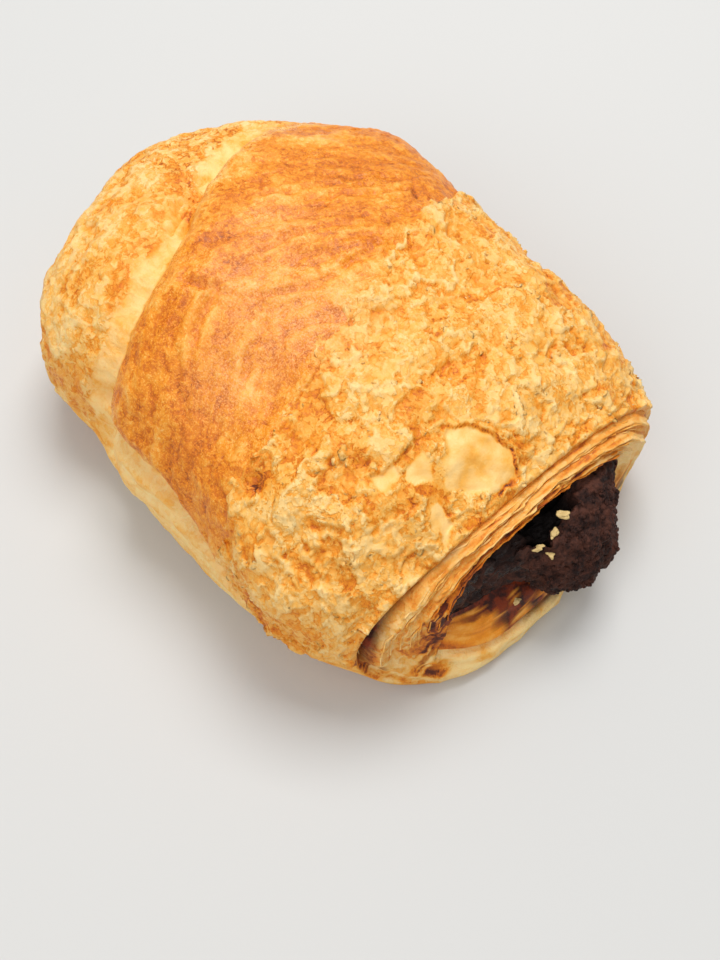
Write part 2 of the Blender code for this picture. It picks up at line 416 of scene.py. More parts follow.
def blend_sections(stations, shares):
    """Sections at shares of the way along a smooth curve through the stations."""
    stations = np.array(stations)
    steps = np.linalg.norm(np.diff(stations[:, :9], axis=0), axis=1)
    place = np.concatenate([[0], np.cumsum(steps)])
    slope = np.gradient(stations, place, axis=0)
    made = []
    for at in np.asarray(shares) * place[-1]:
        i = min(int(np.searchsorted(place, at, side="right")) - 1, len(steps) - 1)
        span = place[i + 1] - place[i]
        t = (at - place[i]) / span
        made.append(
            (2 * t**3 - 3 * t**2 + 1) * stations[i]
            + (t**3 - 2 * t**2 + t) * span * slope[i]
            + (3 * t**2 - 2 * t**3) * stations[i + 1]
            + (t**3 - t**2) * span * slope[i + 1]
        )
    return made


def share_at(x):
    """How far along the crust, as a share, its top reaches a place along the roll."""
    shares = np.linspace(0, 1, 400)
    tops = [shape[0] for shape in blend_sections(CRUST, shares)]
    return float(np.interp(x, np.maximum.accumulate(tops), shares))


def normals_of(rings):
    """Outward directions of a grid of rings, each a row of points."""
    around = np.roll(rings, -1, axis=1) - np.roll(rings, 1, axis=1)
    along = np.gradient(rings, axis=0)
    normal = np.cross(around, along)
    return normal / np.maximum(np.linalg.norm(normal, axis=2, keepdims=True), 1e-9)


def beside(points, start, end):
    """How far along a line in plan each point lies, as a share, and how far to its side."""
    line = end - start
    offset = points[..., :2] - start
    along = offset @ line / (line @ line)
    side = (offset[..., 0] * line[1] - offset[..., 1] * line[0]) / np.linalg.norm(line)
    return along, side


def flake_edge(points):
    """How far a point lies past the ragged edge where the flaky skin starts."""
    return points[..., 0] - 8 + 0.31 * points[..., 1] + 2.2 * wander(points, 7, 11)


def groove_parts(points):
    """The groove's share, side and fade at each point of the crust."""
    share, side = beside(points, GROOVE_START, GROOVE_END)
    side = side + 1.6 * wander(points, 14, 3) + GROOVE_BEND * smooth_step((share - 0.48) / 0.22)
    return share, side, smooth_step((1.12 - share) / 0.25)


def sheet_parts(points):
    """How far the glazed sheet covers the mouth side of the groove, and the pale band beside it."""
    share, side, fade = groove_parts(points)
    x, y, push, reach = FOLD_OVER
    side = side + push * bump(np.hypot(points[..., 0] - x, points[..., 1] - y), 0, reach)
    side = side + 0.35 * wander(points, 3.2, 401) + 0.15 * wander(points, 1.2, 403)
    sheet = smooth_step((side - SHEET_EDGE) / 0.6)
    beyond_fold = smooth_step((share - 0.70) / 0.12)
    width = BAND_HALF_WIDTH * (1.1 - 0.55 * np.clip(share, 0, 0.75) + 0.35 * beyond_fold)
    left = side - (SHEET_EDGE - 2 * width) + 0.9 * layered(points, 4, 441)
    band = smooth_step(left / 1.6) * smooth_step((SHEET_EDGE + 0.2 + 1.2 * beyond_fold - side) / 0.7)
    band = band * smooth_step((1.17 - share + 0.06 * wander(points, 4, 445)) / 0.2)
    return sheet * fade, band * (1 - 0.75 * bump(share, 0.69, 0.05))


def crust_relief(points, flaky):
    """How far the crust stands out at points of its smooth form. flaky is one past the flake edge."""
    on_top = smooth_step((points[..., 2] - 6) / 8)
    share, side, fade = groove_parts(points)
    groove = -GROOVE_DEPTH * bump(side, 0, GROOVE_REACH * (1.1 - 0.5 * share)) * fade
    fold = FOLD_STEP * smooth_step((side - 1) / 3) * bump(side, 4, 12) * fade
    blisters = BLISTER * (0.35 + 0.65 * flaky) * wander(points, 6.5, 7)
    swell = SWELL * wander(points, 22, 19)
    share, side = beside(points, SHOULDER_START, SHOULDER_END)
    shoulder = SHOULDER_HEIGHT * bump(side, 0, 2.6) * bump(share, 0.5, 0.45)
    return (groove + fold + blisters + swell + shoulder) * on_top


def crease_height(points):
    """How high the crust's lower edge runs on the -Y side: highest beside the groove."""
    return CREASE_LOW + CREASE_RISE * smooth_step((30.5 - points[..., 0]) / 28)


def underlayer_parts(points):
    """Where the pale layer shows along the -Y side, and how far it stands out."""
    x, z = points[..., 0], points[..., 2]
    length = smooth_step((x + 19) / 7) * smooth_step((34 - x) / 16)
    bulge = UNDERLAYER_BULGE * bump(z, UNDERLAYER_HEIGHT, 3.4)
    crease = UNDERLAYER_CREASE * bump(z, crease_height(points), 2.0)
    return length, length * (bulge - crease)


def crust_surface(shares, angles):
    """The crust nearly as the solid has it, without the flaky skin's own step: points and normals."""
    rings = np.array([outline(shape, angles) for shape in blend_sections(CRUST, shares)])
    normal = normals_of(rings)
    flaky = smooth_step(flake_edge(rings) / 1.6)
    along = np.asarray(shares)[:, None] * CRUST_RING_STEPS
    ends = smooth_step(along / 3) * smooth_step((CRUST_RING_STEPS - along) / 2)
    out = crust_relief(rings, flaky) * ends * smooth_step((rings[..., 2] - 4) / 6)
    near_side = (normal[..., 1] < -0.3) & (rings[..., 2] < 30)
    out = out + np.where(near_side, underlayer_parts(rings)[1], 0)
    rings = rings + normal * out[..., None]
    return rings, normal


def slit_depth(points):
    """How deep the small slits are at each point."""
    depth = np.zeros(points.shape[:-1])
    for slit in SLITS:
        turn = math.radians(slit.turn)
        offset = points[..., :2] - (slit.x, slit.y)
        along = offset @ (math.cos(turn), math.sin(turn))
        across = offset @ (-math.sin(turn), math.cos(turn)) + 0.4 * np.sin(along)
        depth += slit.depth * bump(across, 0, 0.38) * bump(along, 0, slit.length)
    return depth


def patched(points, patches):
    """What the patches add to the browning at each point."""
    total = np.zeros(points.shape[:-1])
    for patch in patches:
        away = np.hypot(points[..., 0] - patch.x, points[..., 1] - patch.y)
        total += patch.browning * bump(away, 0, patch.reach)
    return total


def swelling(points):
    """How far the broad swellings and dents lift each point of the crust."""
    total = np.zeros(points.shape[:-1])
    for s in SWELLINGS:
        total += s.height * bump(np.linalg.norm(points - (s.x, s.y, s.z), axis=-1), 0, s.reach)
    return total


def flow_of(points):
    """Coordinates across and along the wrinkles of the glazed crust."""
    across = points[..., 0] - WRINKLE_SLANT * np.sqrt((points[..., 1] - WRINKLE_TURN) ** 2 + 9)
    across = across + 1.6 * wander(points, 9, 421)
    return np.stack([across, points[..., 1] / 4, points[..., 2] / 2], -1)


def from_line(points, corners):
    """How far each point is in plan from a line through the corners."""
    nearest = np.full(points.shape[:-1], 1e3)
    for start, end in zip(corners, corners[1:]):
        start, line = np.array(start), np.subtract(end, start)
        share = np.clip((points[..., :2] - start) @ line / (line @ line), 0, 1)
        away = np.linalg.norm(points[..., :2] - start - share[..., None] * line, axis=-1)
        nearest = np.minimum(nearest, away)
    return nearest


def long_wrinkles(points):
    """How deep the long wrinkles are at each point, and the soft ridge beside them."""
    bent = points + sway(points, 4, 431)
    away = np.min([from_line(bent, corners) for corners in WRINKLES], axis=0)
    strength = 0.6 + 0.5 * wander(points, 6, 437)
    return bump(away, 0, 0.5) * strength, bump(away, 1.3, 0.6) * strength


# Each vertex carries values that the materials read: browning from 0 raw to 1 nearly burnt,
# which in places also carries painted shade and painted highlights, gloss, torn for how strongly
# torn layers show, dusty for dull and pinkish glaze and a painted sheen, stain for soaked-in
# chocolate and painted shade on the lip, wrinkled for fine streaks, specks for dark dots and
# hollow for the chocolate's dip and its painted shadow. The value called share says how thickly
# small pieces are scattered.


GlazeMarks = namedtuple(
    "GlazeMarks",
    "streaks wrinkles creases furrow ridge sheet band side lobe blotches scales slits cells tucked ribs",
)


def glazed_marks(points):
    """What marks the smooth crust: wrinkles, the groove's parts, blotches, slits and fine cells."""
    streaks = flow_of(points)
    wrinkles = 0.38 * layered(streaks, 2.6, 101, 4) + 0.15 * layered(points, 2.0, 107)
    creases = np.abs(layered(streaks + 0.4 * wrinkles[..., None], 3.4, 109, 3))
    creases = (1 - smooth_step(creases / 0.16)) * smooth_step((wander(points, 9, 111) + 0.15) / 0.3)
    furrow, ridge = long_wrinkles(points)
    sheet, band = sheet_parts(points)
    side = groove_parts(points)[1]
    lobe = smooth_step((-side + 1.5) / 3) * (1 - sheet)
    blotches = layered(points, 4.5, 127, 4)
    scales = smooth_step((blotches + 0.05) / 0.16)
    slits = slit_depth(points)
    cells = bubbles(points + 0.4 * wrinkles[..., None], 1.7, 159) - 0.5
    tucked = np.min([from_line(points, corners) for corners in GROOVE_CREASES], axis=0)
    tucked = bump(tucked, 0, 0.42)
    ribs = wander(along_groove(points, 3.0, 0.55), 1.0, 139)
    return GlazeMarks(
        streaks, wrinkles, creases, furrow, ridge, sheet, band, side, lobe, blotches, scales,
        slits, cells, tucked, ribs,
    )


def glazed_relief(points, marks):
    """How far the marks of the smooth crust stand out."""
    band = marks.band
    peel = 0.10 * layered(points, 1.4, 113, 2)
    relief = marks.wrinkles * (1 - 0.7 * band) + peel - 0.22 * marks.creases * (1 - band) - marks.slits
    relief = relief - WRINKLE_DEPTH * marks.furrow + 0.35 * marks.ridge
    relief = relief + marks.lobe * (1 - band) * (0.24 * marks.scales + 0.2 * marks.blotches)
    relief = relief + SHEET_STEP * marks.sheet
    relief = relief + 0.16 * marks.cells * (1 - band)
    relief = relief - 0.8 * marks.tucked
    return relief + (0.10 * marks.ribs + 0.16 * layered(points, 2.4, 143)) * band


def glaze_tone(points, marks):
    """Browning of the glazed band between the groove and the flaky crust, with painted highlight and shade
    along its relief.
    """
    glazed = GLAZE_TONE + 0.10 * layered(points, 9, 131) + 0.16 * wander(marks.streaks, 3, 137)
    glazed = glazed + 0.08 * layered(points, 4.2, 133, 2)
    # Paler where the wrinkles, ridges and cells stand up, darker in the furrows and creases: painted
    # highlight and painted shade that follow the relief.
    glazed = glazed - 0.38 * marks.wrinkles + 0.08 * marks.creases + patched(points, GLAZED_PATCHES)
    glazed = glazed + 0.17 * marks.furrow - 0.08 * marks.ridge - 0.10 * marks.cells
    golden = smooth_step((marks.side - 0.8) / 1.2)
    golden = golden * smooth_step((7.0 - marks.side + 2.2 * wander(points, 5, 155)) / 2.0)
    golden = golden * smooth_step((points[..., 1] + 30) / 5)
    glazed = glazed * (1 - 0.6 * golden) + 0.6 * GOLDEN_EDGE_TONE * golden
    return np.minimum(glazed, GLAZE_SOFT_LIMIT + 0.42 * (glazed - GLAZE_SOFT_LIMIT))


def glazed_detail(points):
    """Fine relief of the glazed crust and of the lobe beyond the groove, with their finish."""
    marks = glazed_marks(points)
    band, lobe, side = marks.band, marks.lobe, marks.side
    mottled = LOBE_TONE + 0.10 * layered(points, 9, 138) - 0.13 * marks.scales - 0.1 * marks.blotches
    browning = glaze_tone(points, marks) * (1 - lobe) + mottled * lobe
    top_end = smooth_step((groove_parts(points)[0] - 0.6) / 0.3)
    raw = GROOVE_TONE + (0.10 - 0.05 * top_end) * marks.ribs
    raw = raw + (0.18 + 0.16 * top_end) * layered(points, 3.0, 141)
    # The tucked creases of the groove are darkened: painted shade.
    browning = browning * (1 - band) + raw * band + 0.28 * marks.tucked
    rim = smooth_step((-44 - points[..., 0] + 2 * wander(points, 6, 149)) / 4)
    browning = browning * (1 - 0.3 * rim) + 0.12 * rim
    # The slits are darkened: painted shade.
    browning = browning + 0.25 * np.clip(marks.slits, 0, 1.5)
    gloss = 0.80 + 0.35 * layered(points, 6, 151, 2) - 0.6 * band - 0.35 * lobe
    near_band = smooth_step((9 - side) / 6) * smooth_step((points[..., 1] + 12) / 10)
    torn = 0.26 + 0.42 * lobe * (1 - band) + 0.1 * layered(points, 5, 153, 2)
    torn = torn + 0.35 * near_band * (1 - band)
    browning = browning - 0.10 * near_band * (1 - band) * (1 - lobe)
    return glazed_relief(points, marks), browning, np.clip(gloss, 0, 1), np.clip(torn, 0.05, 1)


def low_side(points):
    """Fades the crust's colour to the paler or browner dough near the surface it lies on."""
    near = smooth_step(-points[..., 1] / 10) * smooth_step((points[..., 0] + 19) / 7)
    edge = crease_height(points) * near + (CREASE_LOW + 1.5) * (1 - near)
    return smooth_step((edge - points[..., 2] + 0.8 * wander(points, 5, 157)) / 1.2)


def skin_crust(shares, angles):
    """The crust part of the dough's skin, with its fine relief and its finish."""
    rings, normal = crust_surface(shares, angles)
    relief, browning, gloss, torn = glazed_detail(rings)
    covered = smooth_step((flake_edge(rings) - 1.2) / 2)
    low = low_side(rings)
    length = underlayer_parts(rings)[0] * (rings[..., 1] < 0)
    folds = layered(rings * (0.5, 1, 2.2), 3.0, 161, 3)
    pale = UNDERLAYER_TONE + 0.24 * folds
    side = LOW_SIDE_TONE + 0.12 * layered(rings, 6, 167) + 0.12 * smooth_step((3 - rings[..., 2]) / 3)
    side = side + 0.14 * layered(rings * (0.3, 0.3, 1.6), 2.4, 169, 3)
    browning = browning * (1 - low) + low * (length * pale + (1 - length) * side)
    # A brown line along the crease above the pale layer: painted shade.
    seam_shade = bump(rings[..., 2], crease_height(rings) + 0.3, 0.8) * length
    browning = browning + 0.25 * seam_shade * smooth_step((layered(rings, 4, 163) + 0.2) / 0.4)
    wrinkled = (1 - sheet_parts(rings)[1]) * (1 - low)
    wrinkled = wrinkled * (0.45 + 0.55 * smooth_step((groove_parts(rings)[1] + 1.5) / 3))
    gloss = gloss * (1 - 0.8 * low)
    torn = torn * (1 - low) + 0.4 * low
    ends = smooth_step((1 - np.asarray(shares)[:, None]) / 0.01)
    relief = relief * (1 - low) + 0.42 * folds * low
    lift = relief * ends * (1 - covered) - 0.8 * covered * ends * (1 - low) + swelling(rings) * ends
    # A pinkish painted sheen on the glaze, in the sheen patches.
    dusty = patched(rings, SHEEN_PATCHES) * (1 - low)
    finish = {
        "browning": browning, "gloss": gloss, "torn": torn, "dusty": dusty, "stain": 0 * torn,
        "wrinkled": wrinkled,
    }
    return rings + normal * lift[..., None], finish


def lip_parts(angles):
    """Weights round the lip: upper, lower, far side and near side."""
    upper = np.clip(np.sin(angles), 0, 1)
    lower = np.clip(-np.sin(angles), 0, 1)
    far_side = np.clip(np.cos(angles), 0, 1) ** 2
    near_side = bump(angles, np.radians(158), np.radians(32))
    return upper, lower, far_side, near_side


# One line along the lip: its share of the way to the mouth, and for each of its points the angle
# at which the strap ends, how much it is strap or lower lip, the phases of the thick and thin
# layers, and how deep it lies in the crevice
LipLine = namedtuple("LipLine", "t overlap strap below phase fine_phase crevice")


def lip_stain(points, angles, line, streak, inner_edge, streaks, base_streaks):
    """How far each point of a line along the lip takes the stain's colour: soaked-in chocolate, dark lines
    along the lower lip's crease and the lip's inner edge, and painted shade in the crevice, the crack and
    over the upper lip.
    """
    t, degrees = line.t, np.degrees(angles)
    lower = lip_parts(angles)[1]
    middle_part = smooth_step((points[:, 1] + 14) / 3) * smooth_step((4 - points[:, 1]) / 3) * lower
    mottle = 0.7 * layered(points, 3.0, 413, 4) + 0.5 * layered(points * (1, 0.5, 1), 1.4, 419, 2)
    soaked = middle_part * smooth_step((t - 0.56) / 0.05)
    soaked = soaked * smooth_step((mottle + 0.9 * (t - 0.66) + 0.15) / 0.16)
    crease = smooth_step((points[:, 1] + 10) / 4) * bump(t, 0.53, 0.075) * lower
    edge_line = smooth_step((t - 0.90 + 0.08 * streak) / 0.06)
    upper_line = (1 - lower) * inner_edge * smooth_step((streak - 0.05) / 0.2)
    # The crack's dark line and the crevice's darkness, both in the stain's colour, are painted shade.
    crack_shade = 0.9 * bump(degrees, 168, 16) * bump(t, 0.14, 0.035)
    stain = soaked + 0.95 * smooth_step((crease - 0.2 + 0.3 * mottle) / 0.3)
    stain = stain + 1.1 * edge_line + 1.1 * line.crevice + crack_shade
    stain = stain + 0.80 * upper_line + 0.45 * smooth_step((streaks - 0.70) / 0.2)
    stain = stain + 0.5 * smooth_step((base_streaks - 0.6) / 0.2)
    # A little of the stain's colour over the upper lip, more towards its inner edge, is painted shade that
    # dulls it.
    return stain + (0.10 + 0.16 * inner_edge) * (1 - lower) * (1 - 0.5 * line.strap)


def lip_finish(points, angles, line):
    """Browning, stain and gloss of a line of points along the lip."""
    t, strap, below = line.t, line.strap, line.below
    _, lower, far_side, _ = lip_parts(angles)
    degrees = np.degrees(angles)
    depth = np.full(len(points), t)
    streak = layered(np.stack([points[:, 1] / 6, points[:, 2] / 6, depth * 15], -1), 1.0, 181, 4)
    radial = layered(np.stack([degrees / 4.5, 0 * degrees, depth * 2], -1), 1.0, 411, 3)
    # Darker in the valleys between the thick and the thin layers: painted shade.
    valley_shade = 0.5 + 0.5 * np.cos(2 * np.pi * line.phase)
    thin_valley_shade = smooth_step(np.cos(2 * np.pi * line.fine_phase) * 0.8 - 0.1) * (1 - strap)
    browning = LIP_TONE + 0.26 * streak + 0.16 * valley_shade + 0.20 * thin_valley_shade * (0.6 + 0.8 * streak)
    browning = browning - 0.20 * strap * smooth_step((0.75 - t) / 0.3)
    browning = browning + 0.30 * strap * smooth_step((layered(points, 3.4, 449, 3) - 0.05) / 0.3)
    inner_edge = smooth_step((t - 0.58 + 0.08 * streak) / 0.25)
    browning = browning + inner_edge * (0.44 + 0.5 * streak) * (1 - lower) * (1 - far_side)
    pale_end = far_side * smooth_step((t - 0.35) / 0.2) * (1 - lower)
    browning = browning * (1 - pale_end) + 0.10 * pale_end
    orange = smooth_step((t - 0.5) / 0.05)
    freckled = smooth_step((layered(points, 2.6, 447, 3) - 0.05) / 0.35)
    rolled = ROLL_TONE + 0.18 * streak + 0.52 * orange + 0.32 * freckled * (1 - orange)
    browning = browning * (1 - below * lower**0.3) + rolled * below * lower**0.3
    fold = bump(degrees, line.overlap - 10, 11) * smooth_step((t - 0.12) / 0.15)
    streaks = fold * smooth_step((radial + 0.05) / 0.15)
    base_streaks = bump(degrees, 192, 14) * smooth_step((0.35 - t) / 0.2)
    base_streaks = base_streaks * smooth_step((radial - 0.02) / 0.2)
    wet = lower * smooth_step((t - 0.55) / 0.1)
    stain = lip_stain(points, angles, line, streak, inner_edge, streaks, base_streaks)
    return {
        "browning": browning + 0.34 * streaks + 0.25 * base_streaks,
        "gloss": 0.22 + 0.6 * wet,
        "torn": 0.35 + 0.25 * strap - 0.28 * wet,
        "dusty": 0.14 * (1 - lower) * (1 - inner_edge),
        "wrinkled": 0.25 * wet,
        "stain": np.clip(stain * (1 - pale_end), 0, 1),
    }


def lip_surface(outer, inner, angles, shares):
    """The strap of layered dough over the mouth and the rolled lower lip, with their finish."""
    upper, lower, far_side, near_side = lip_parts(angles)
    side = outer[:, 1]
    degrees = np.degrees(angles)
    tongue = 0.2 + 0.8 * smooth_step((8 - side) / 8) * smooth_step((side + 33) / 9)
    tongue = tongue * lower**2
    away = (outer - outer.mean(axis=0)) * (0, 1, 1)
    away = away / np.linalg.norm(away, axis=1, keepdims=True) * (1 - lower[:, None]) * 0.7
    forward = np.array([1.0, 0.0, 0.0])
    drift = 0.55 * wander(outer, 13, 173) + 0.22 * wander(outer, 5, 179)
    rows, values = [], []
    for t in shares:
        points = outer + (inner - outer) * t
        overlap = STRAP_END_OUTER + (STRAP_END_INNER - STRAP_END_OUTER) * t
        overlap = overlap + 4.0 * layered(points + (0, 0, 5 * t), 4, 405, 2)
        covering = smooth_step((overlap - degrees) / 3.0)
        strap = covering * smooth_step((degrees - 115) / 45)
        below = 1 - covering
        phase = LAYERS * t + drift * np.sin(np.pi * t)
        ridge = -LAMINATION * np.cos(2 * np.pi * phase) * (1 - 0.5 * lower)
        ridge = ridge * (0.75 + 0.6 * wander(points + (6 * t, 0, 0), 7, 443)) * min(1, t / 0.14)
        fine_phase = FINE_LAYERS * t + 3.1 * drift + 0.5 * wander(outer, 2.4, 183)
        ridge = ridge - 0.13 * np.cos(2 * np.pi * fine_phase) * (1 - lower) * (1 - 0.6 * strap)
        crest = (1.1 * upper + 1.2 * far_side) * np.sin(np.pi * t)
        lumps = 0.45 * layered(points + (9 * t, 0, 0), 3.2, 407, 3) * (0.4 + 0.75 * strap)
        points = points + (forward + away) * (ridge + crest + lumps)[:, None]
        crevice = near_side * bump(t, 0.09, 0.05)
        roll = TONGUE * np.sin(np.pi * t) ** 0.7 * (1 - 0.3 * t)
        roll = roll - 1.6 * TONGUE_CREASE * bump(t, 0.5, 0.055)
        roll = roll + 0.38 * layered(points, 3.5, 409, 3)
        inset = smooth_step((t - 0.12) / 0.12)
        points[:, 0] += tongue * roll - 1.25 * CREVICE_DEPTH * crevice + STRAP_LIFT * strap * inset
        rows.append(points)
        line = LipLine(t, overlap, strap, below, phase, fine_phase, crevice)
        values.append(lip_finish(points, angles, line))
    finish = {name: np.array([row[name] for row in values]) for name in values[0]}
    return np.array(rows), finish


def skin_grid():
    """The dough's whole skin as a closed chain of rings, with its finish."""
    angles = ring_angles(AROUND, UNDERSIDE_DENSITY)
    dense_start, dense_end = share_at(-45), share_at(20)
    shares = np.concatenate([
        np.linspace(0, dense_start, FAR_END_RINGS, endpoint=False),
        np.linspace(dense_start, dense_end, TOP_RINGS, endpoint=False),
        np.linspace(dense_end, 1, FRONT_RINGS),
    ])
    crust, finish = skin_crust(shares, angles)
    tunnel_sections = blend_sections(TUNNEL, np.linspace(0, 1, TUNNEL_RINGS))
    tunnel = np.array([outline(shape, angles) for shape in tunnel_sections])
    lip_shares = np.linspace(0, 1, LIP_RINGS + 2)[1:-1]
    lip, lip_values = lip_surface(crust[-1], tunnel[-1], angles, lip_shares)
    rim_shares = np.linspace(0, 1, RIM_RINGS + 2)[1:-1]
    rim = []
    for t in rim_shares:
        points = tunnel[0] + (crust[0] - tunnel[0]) * t
        arch = np.sin(np.pi * t)
        points[:, 0] -= 1.2 * arch + 0.3 * np.cos(2 * np.pi * LAYERS * t)
        points[:, 0] -= 1.1 * arch * layered(points, 4.5, 451, 4)
        points[:, 2] += 0.9 * arch * layered(points, 5, 453, 3)
        points[:, 1] += 0.9 * arch * layered(points, 5, 457, 3)
        rim.append(points)
    grid = np.concatenate([crust, lip, tunnel[::-1], np.array(rim)])
    flat = np.ones((1, len(angles)))
    hidden = {"browning": 0.75, "gloss": 0.3, "torn": 0.2, "dusty": 0.0, "stain": 1.0, "wrinkled": 0.0}
    rim_values = {
        "browning": 0.46 - 0.18 * rim_shares, "gloss": 0.3 + 0 * rim_shares,
        "torn": 0.5 + 0 * rim_shares, "dusty": 0 * rim_shares, "wrinkled": 0 * rim_shares,
        "stain": smooth_step((0.3 - rim_shares) / 0.25),
    }
    for name in finish:
        finish[name] = np.concatenate([
            finish[name], lip_values[name], hidden[name] * np.repeat(flat, TUNNEL_RINGS, 0),
            rim_values[name][:, None] * flat,
        ])
    grid[..., 2] = np.maximum(grid[..., 2], 0)
    return grid, finish


def outside_of(points, corners):
    """How far each point is in plan outside a patch with the given corners, clockwise."""
    corners = [np.array(corner) for corner in corners]
    inward = [beside(points, start, end)[1] for start, end in zip(corners, corners[1:] + corners[:1])]
    return -np.min(inward, axis=0)


def window_parts(points):
    """The bare patches of smooth skin, and the edge of the sheet that curls up beside the large one."""
    ragged = 1 + 2.6 * smooth_step((WINDOW_CURL_LIMIT + 1 - points[..., 1]) / 3)[..., None]
    bent = points + 0.6 * ragged * sway(points, 2.8, 191)
    bent = bent + 0.4 * sway(points, 1.0, 195)
    outside = outside_of(bent, WINDOW)
    beyond = smooth_step((points[..., 1] - WINDOW_CURL_LIMIT) / 1.5)
    curl = bump(outside, 0.40, 0.35) * beyond
    shadow = (bump(outside, -0.05, 0.24) + 0.28 * bump(outside, -1.4, 1.3)) * beyond
    inside = smooth_step(-outside / (0.35 + 1.1 * (1 - beyond)))
    worn = 0.5 * layered(points, 2.0, 199, 3)
    for corners in BARE_SPOTS:
        inside = np.maximum(inside, smooth_step((-outside_of(bent, corners) - worn) / 0.35))
    return inside, curl, shadow


def flaky_detail(points):
    """Fine relief and finish of the flaky skin: torn sheets, curled edges, blisters and pits, with painted
    shadow at the feet of the sheets and scraps and in the pits.
    """
    drift = np.stack([wander(points, 3.5, 201), wander(points, 3.5, 202), wander(points, 3.5, 203)], -1)
    warped = points + 1.6 * drift
    upper = layered(warped * (1.0, 0.8, 1.0), 6.4, 211, 4)
    lower = layered(warped, 3.2, 223, 4)
    sheet = smooth_step((upper + 0.08) / 0.10)
    scrap = smooth_step((lower + 0.02) / 0.14)
    curl = bump(upper, 0.05, 0.07)
    small_curl = bump(lower, 0.14, 0.09)
    third = smooth_step((upper - 0.34) / 0.10)
    ridged = 1 - np.abs(layered(warped * (1.0, 0.7, 1.0), 4.0, 227, 4)) / 0.12
    ridged = np.clip(ridged, 0, 1) * smooth_step((wander(points, 7, 231) + 0.25) / 0.3)
    relief = 0.34 * sheet + 0.17 * curl + 0.20 * scrap + 0.10 * small_curl + 0.24 * third - 0.35
    relief = relief + 0.40 * ridged
    pebbly = smooth_step((wander(points, 8, 229) + 0.25 + 0.012 * (points[..., 1] + 5)) / 0.35)
    blister = bubbles(points + 0.5 * drift, 1.5, 233) * pebbly
    relief = relief + 0.20 * blister + 0.07 * layered(points, 1.1, 239, 2)
    bare, window_curl, shadow = window_parts(points)
    pits = patched(points, FLAKY_PITS)
    softly = 0.36 * layered(points, 3.6, 247)
    relief = relief * (1 - bare) + (softly - 0.30) * bare + 0.40 * window_curl - 0.3 * shadow - 1.6 * pits
    browning = FLAKY_TONE + 0.10 * layered(points, 11, 241) + 0.05 * layered(points, 2.5, 251)
    browning = browning - 0.11 * sheet - 0.09 * scrap - 0.06 * curl - 0.13 * ridged
    # Just outside the edges of the raised sheets and scraps the dough is darker: painted shadow at their
    # feet.
    browning = browning + 0.11 * bump(upper, -0.13, 0.07) - 0.05 * (blister - 0.5) * pebbly
    browning = browning + 0.08 * bump(lower, -0.16, 0.07)
    bare_tone = BARE_TONE + 0.24 * layered(points, 3.4, 253, 4) - 0.012 * (points[..., 0] - 39)
    browning = browning * (1 - bare) + bare_tone * bare + 0.42 * shadow - 0.08 * window_curl
    # The pits are darkened: painted shade.
    browning = browning + 1.1 * pits
    specks = smooth_step((layered(points, 5.5, 257) - 0.06) / 0.25) * (1 - bare)
    torn = np.clip(0.62 + 0.3 * wander(points, 5, 259), 0.25, 1) * (1 - 0.92 * bare)
    finish = {
        "browning": browning, "gloss": 0.55 + 0.15 * bare, "torn": torn,
        "dusty": 0 * torn, "stain": 0 * torn, "specks": specks,
    }
    return relief, finish, bare


def shell_grid():
    """The flaky skin as a raised sheet over the crust, whose borders sink into it."""
    angles = ring_angles(SHELL_AROUND, UNDERSIDE_DENSITY)
    gap_start, gap_end = np.radians(SHELL_GAP)
    angles = angles[(angles < gap_start) | (angles > gap_end)]
    order = np.argsort(np.where(angles > np.pi * 1.5, angles - 2 * np.pi, angles))
    angles = angles[order]
    shares = np.linspace(share_at(-9), 1, SHELL_ALONG)
    rings, normal = crust_surface(shares, angles)
    past = flake_edge(rings) + 1.9 * layered(rings, 4.0, 263, 4)
    started = smooth_step(past / 0.5)
    left = rings[-1:, :, 0] - rings[..., 0]
    front = smooth_step((left + 0.25 + 0.35 * wander(rings, 2.0, 271)) / 0.7)
    front = front * smooth_step(left / 0.2)
    lowest = np.where(rings[..., 1] < 0, crease_height(rings) + 0.2, 7.5)
    raised = smooth_step((rings[..., 2] - lowest + 1.2 * wander(rings, 3.5, 277)) / 1.0)
    mask = started * front * raised
    relief, finish, bare = flaky_detail(rings)
    settled = 0.45 + 0.45 * smooth_step(past / 5)
    sink = 0.5 - 0.42 * smooth_step((0.8 - left) / 0.8)
    lift = mask * (sink + FLAKE_STEP * settled + relief) - sink + swelling(rings) * smooth_step(left / 1.5)
    border = bump(past, 0.3, 1.6)
    browning = finish["browning"] + 0.05 * bump(left, 0.3, 1.5) + 0.05 * border
    finish["browning"] = browning + 0.12 * smooth_step((16 - rings[..., 2]) / 6)
    # The same pinkish painted sheen, more thinly, on the flaky crust.
    finish["dusty"] = 0.6 * patched(rings, SHEEN_PATCHES)
    finish["share"] = smooth_step((mask - 0.9) / 0.1) * (1 - bare)
    return rings + normal * lift[..., None], finish, mask


def hollow_share(points):
    """The dip between the bulging chocolate and the upper lip, one in its middle: the surface sinks there
    and its material paints it dark as shade.
    """
    bent = points + 2.2 * sway(points, 3.4, 413)
    bent = bent + sway(points, 1.3, 417)
    far_end = smooth_step((7.5 - bent[..., 1]) / 4.0)
    deep = smooth_step((bent[..., 1] + 6.0) / 3.6)
    shallow = 0.38 * smooth_step((bent[..., 1] + 13.0) / 3.0)
    length = np.maximum(deep, shallow) * far_end
    width = smooth_step((bent[..., 0] - 43) / 3) * smooth_step((53.3 - bent[..., 0]) / 1.3)
    return length * width * smooth_step((points[..., 2] - 19) / 3)


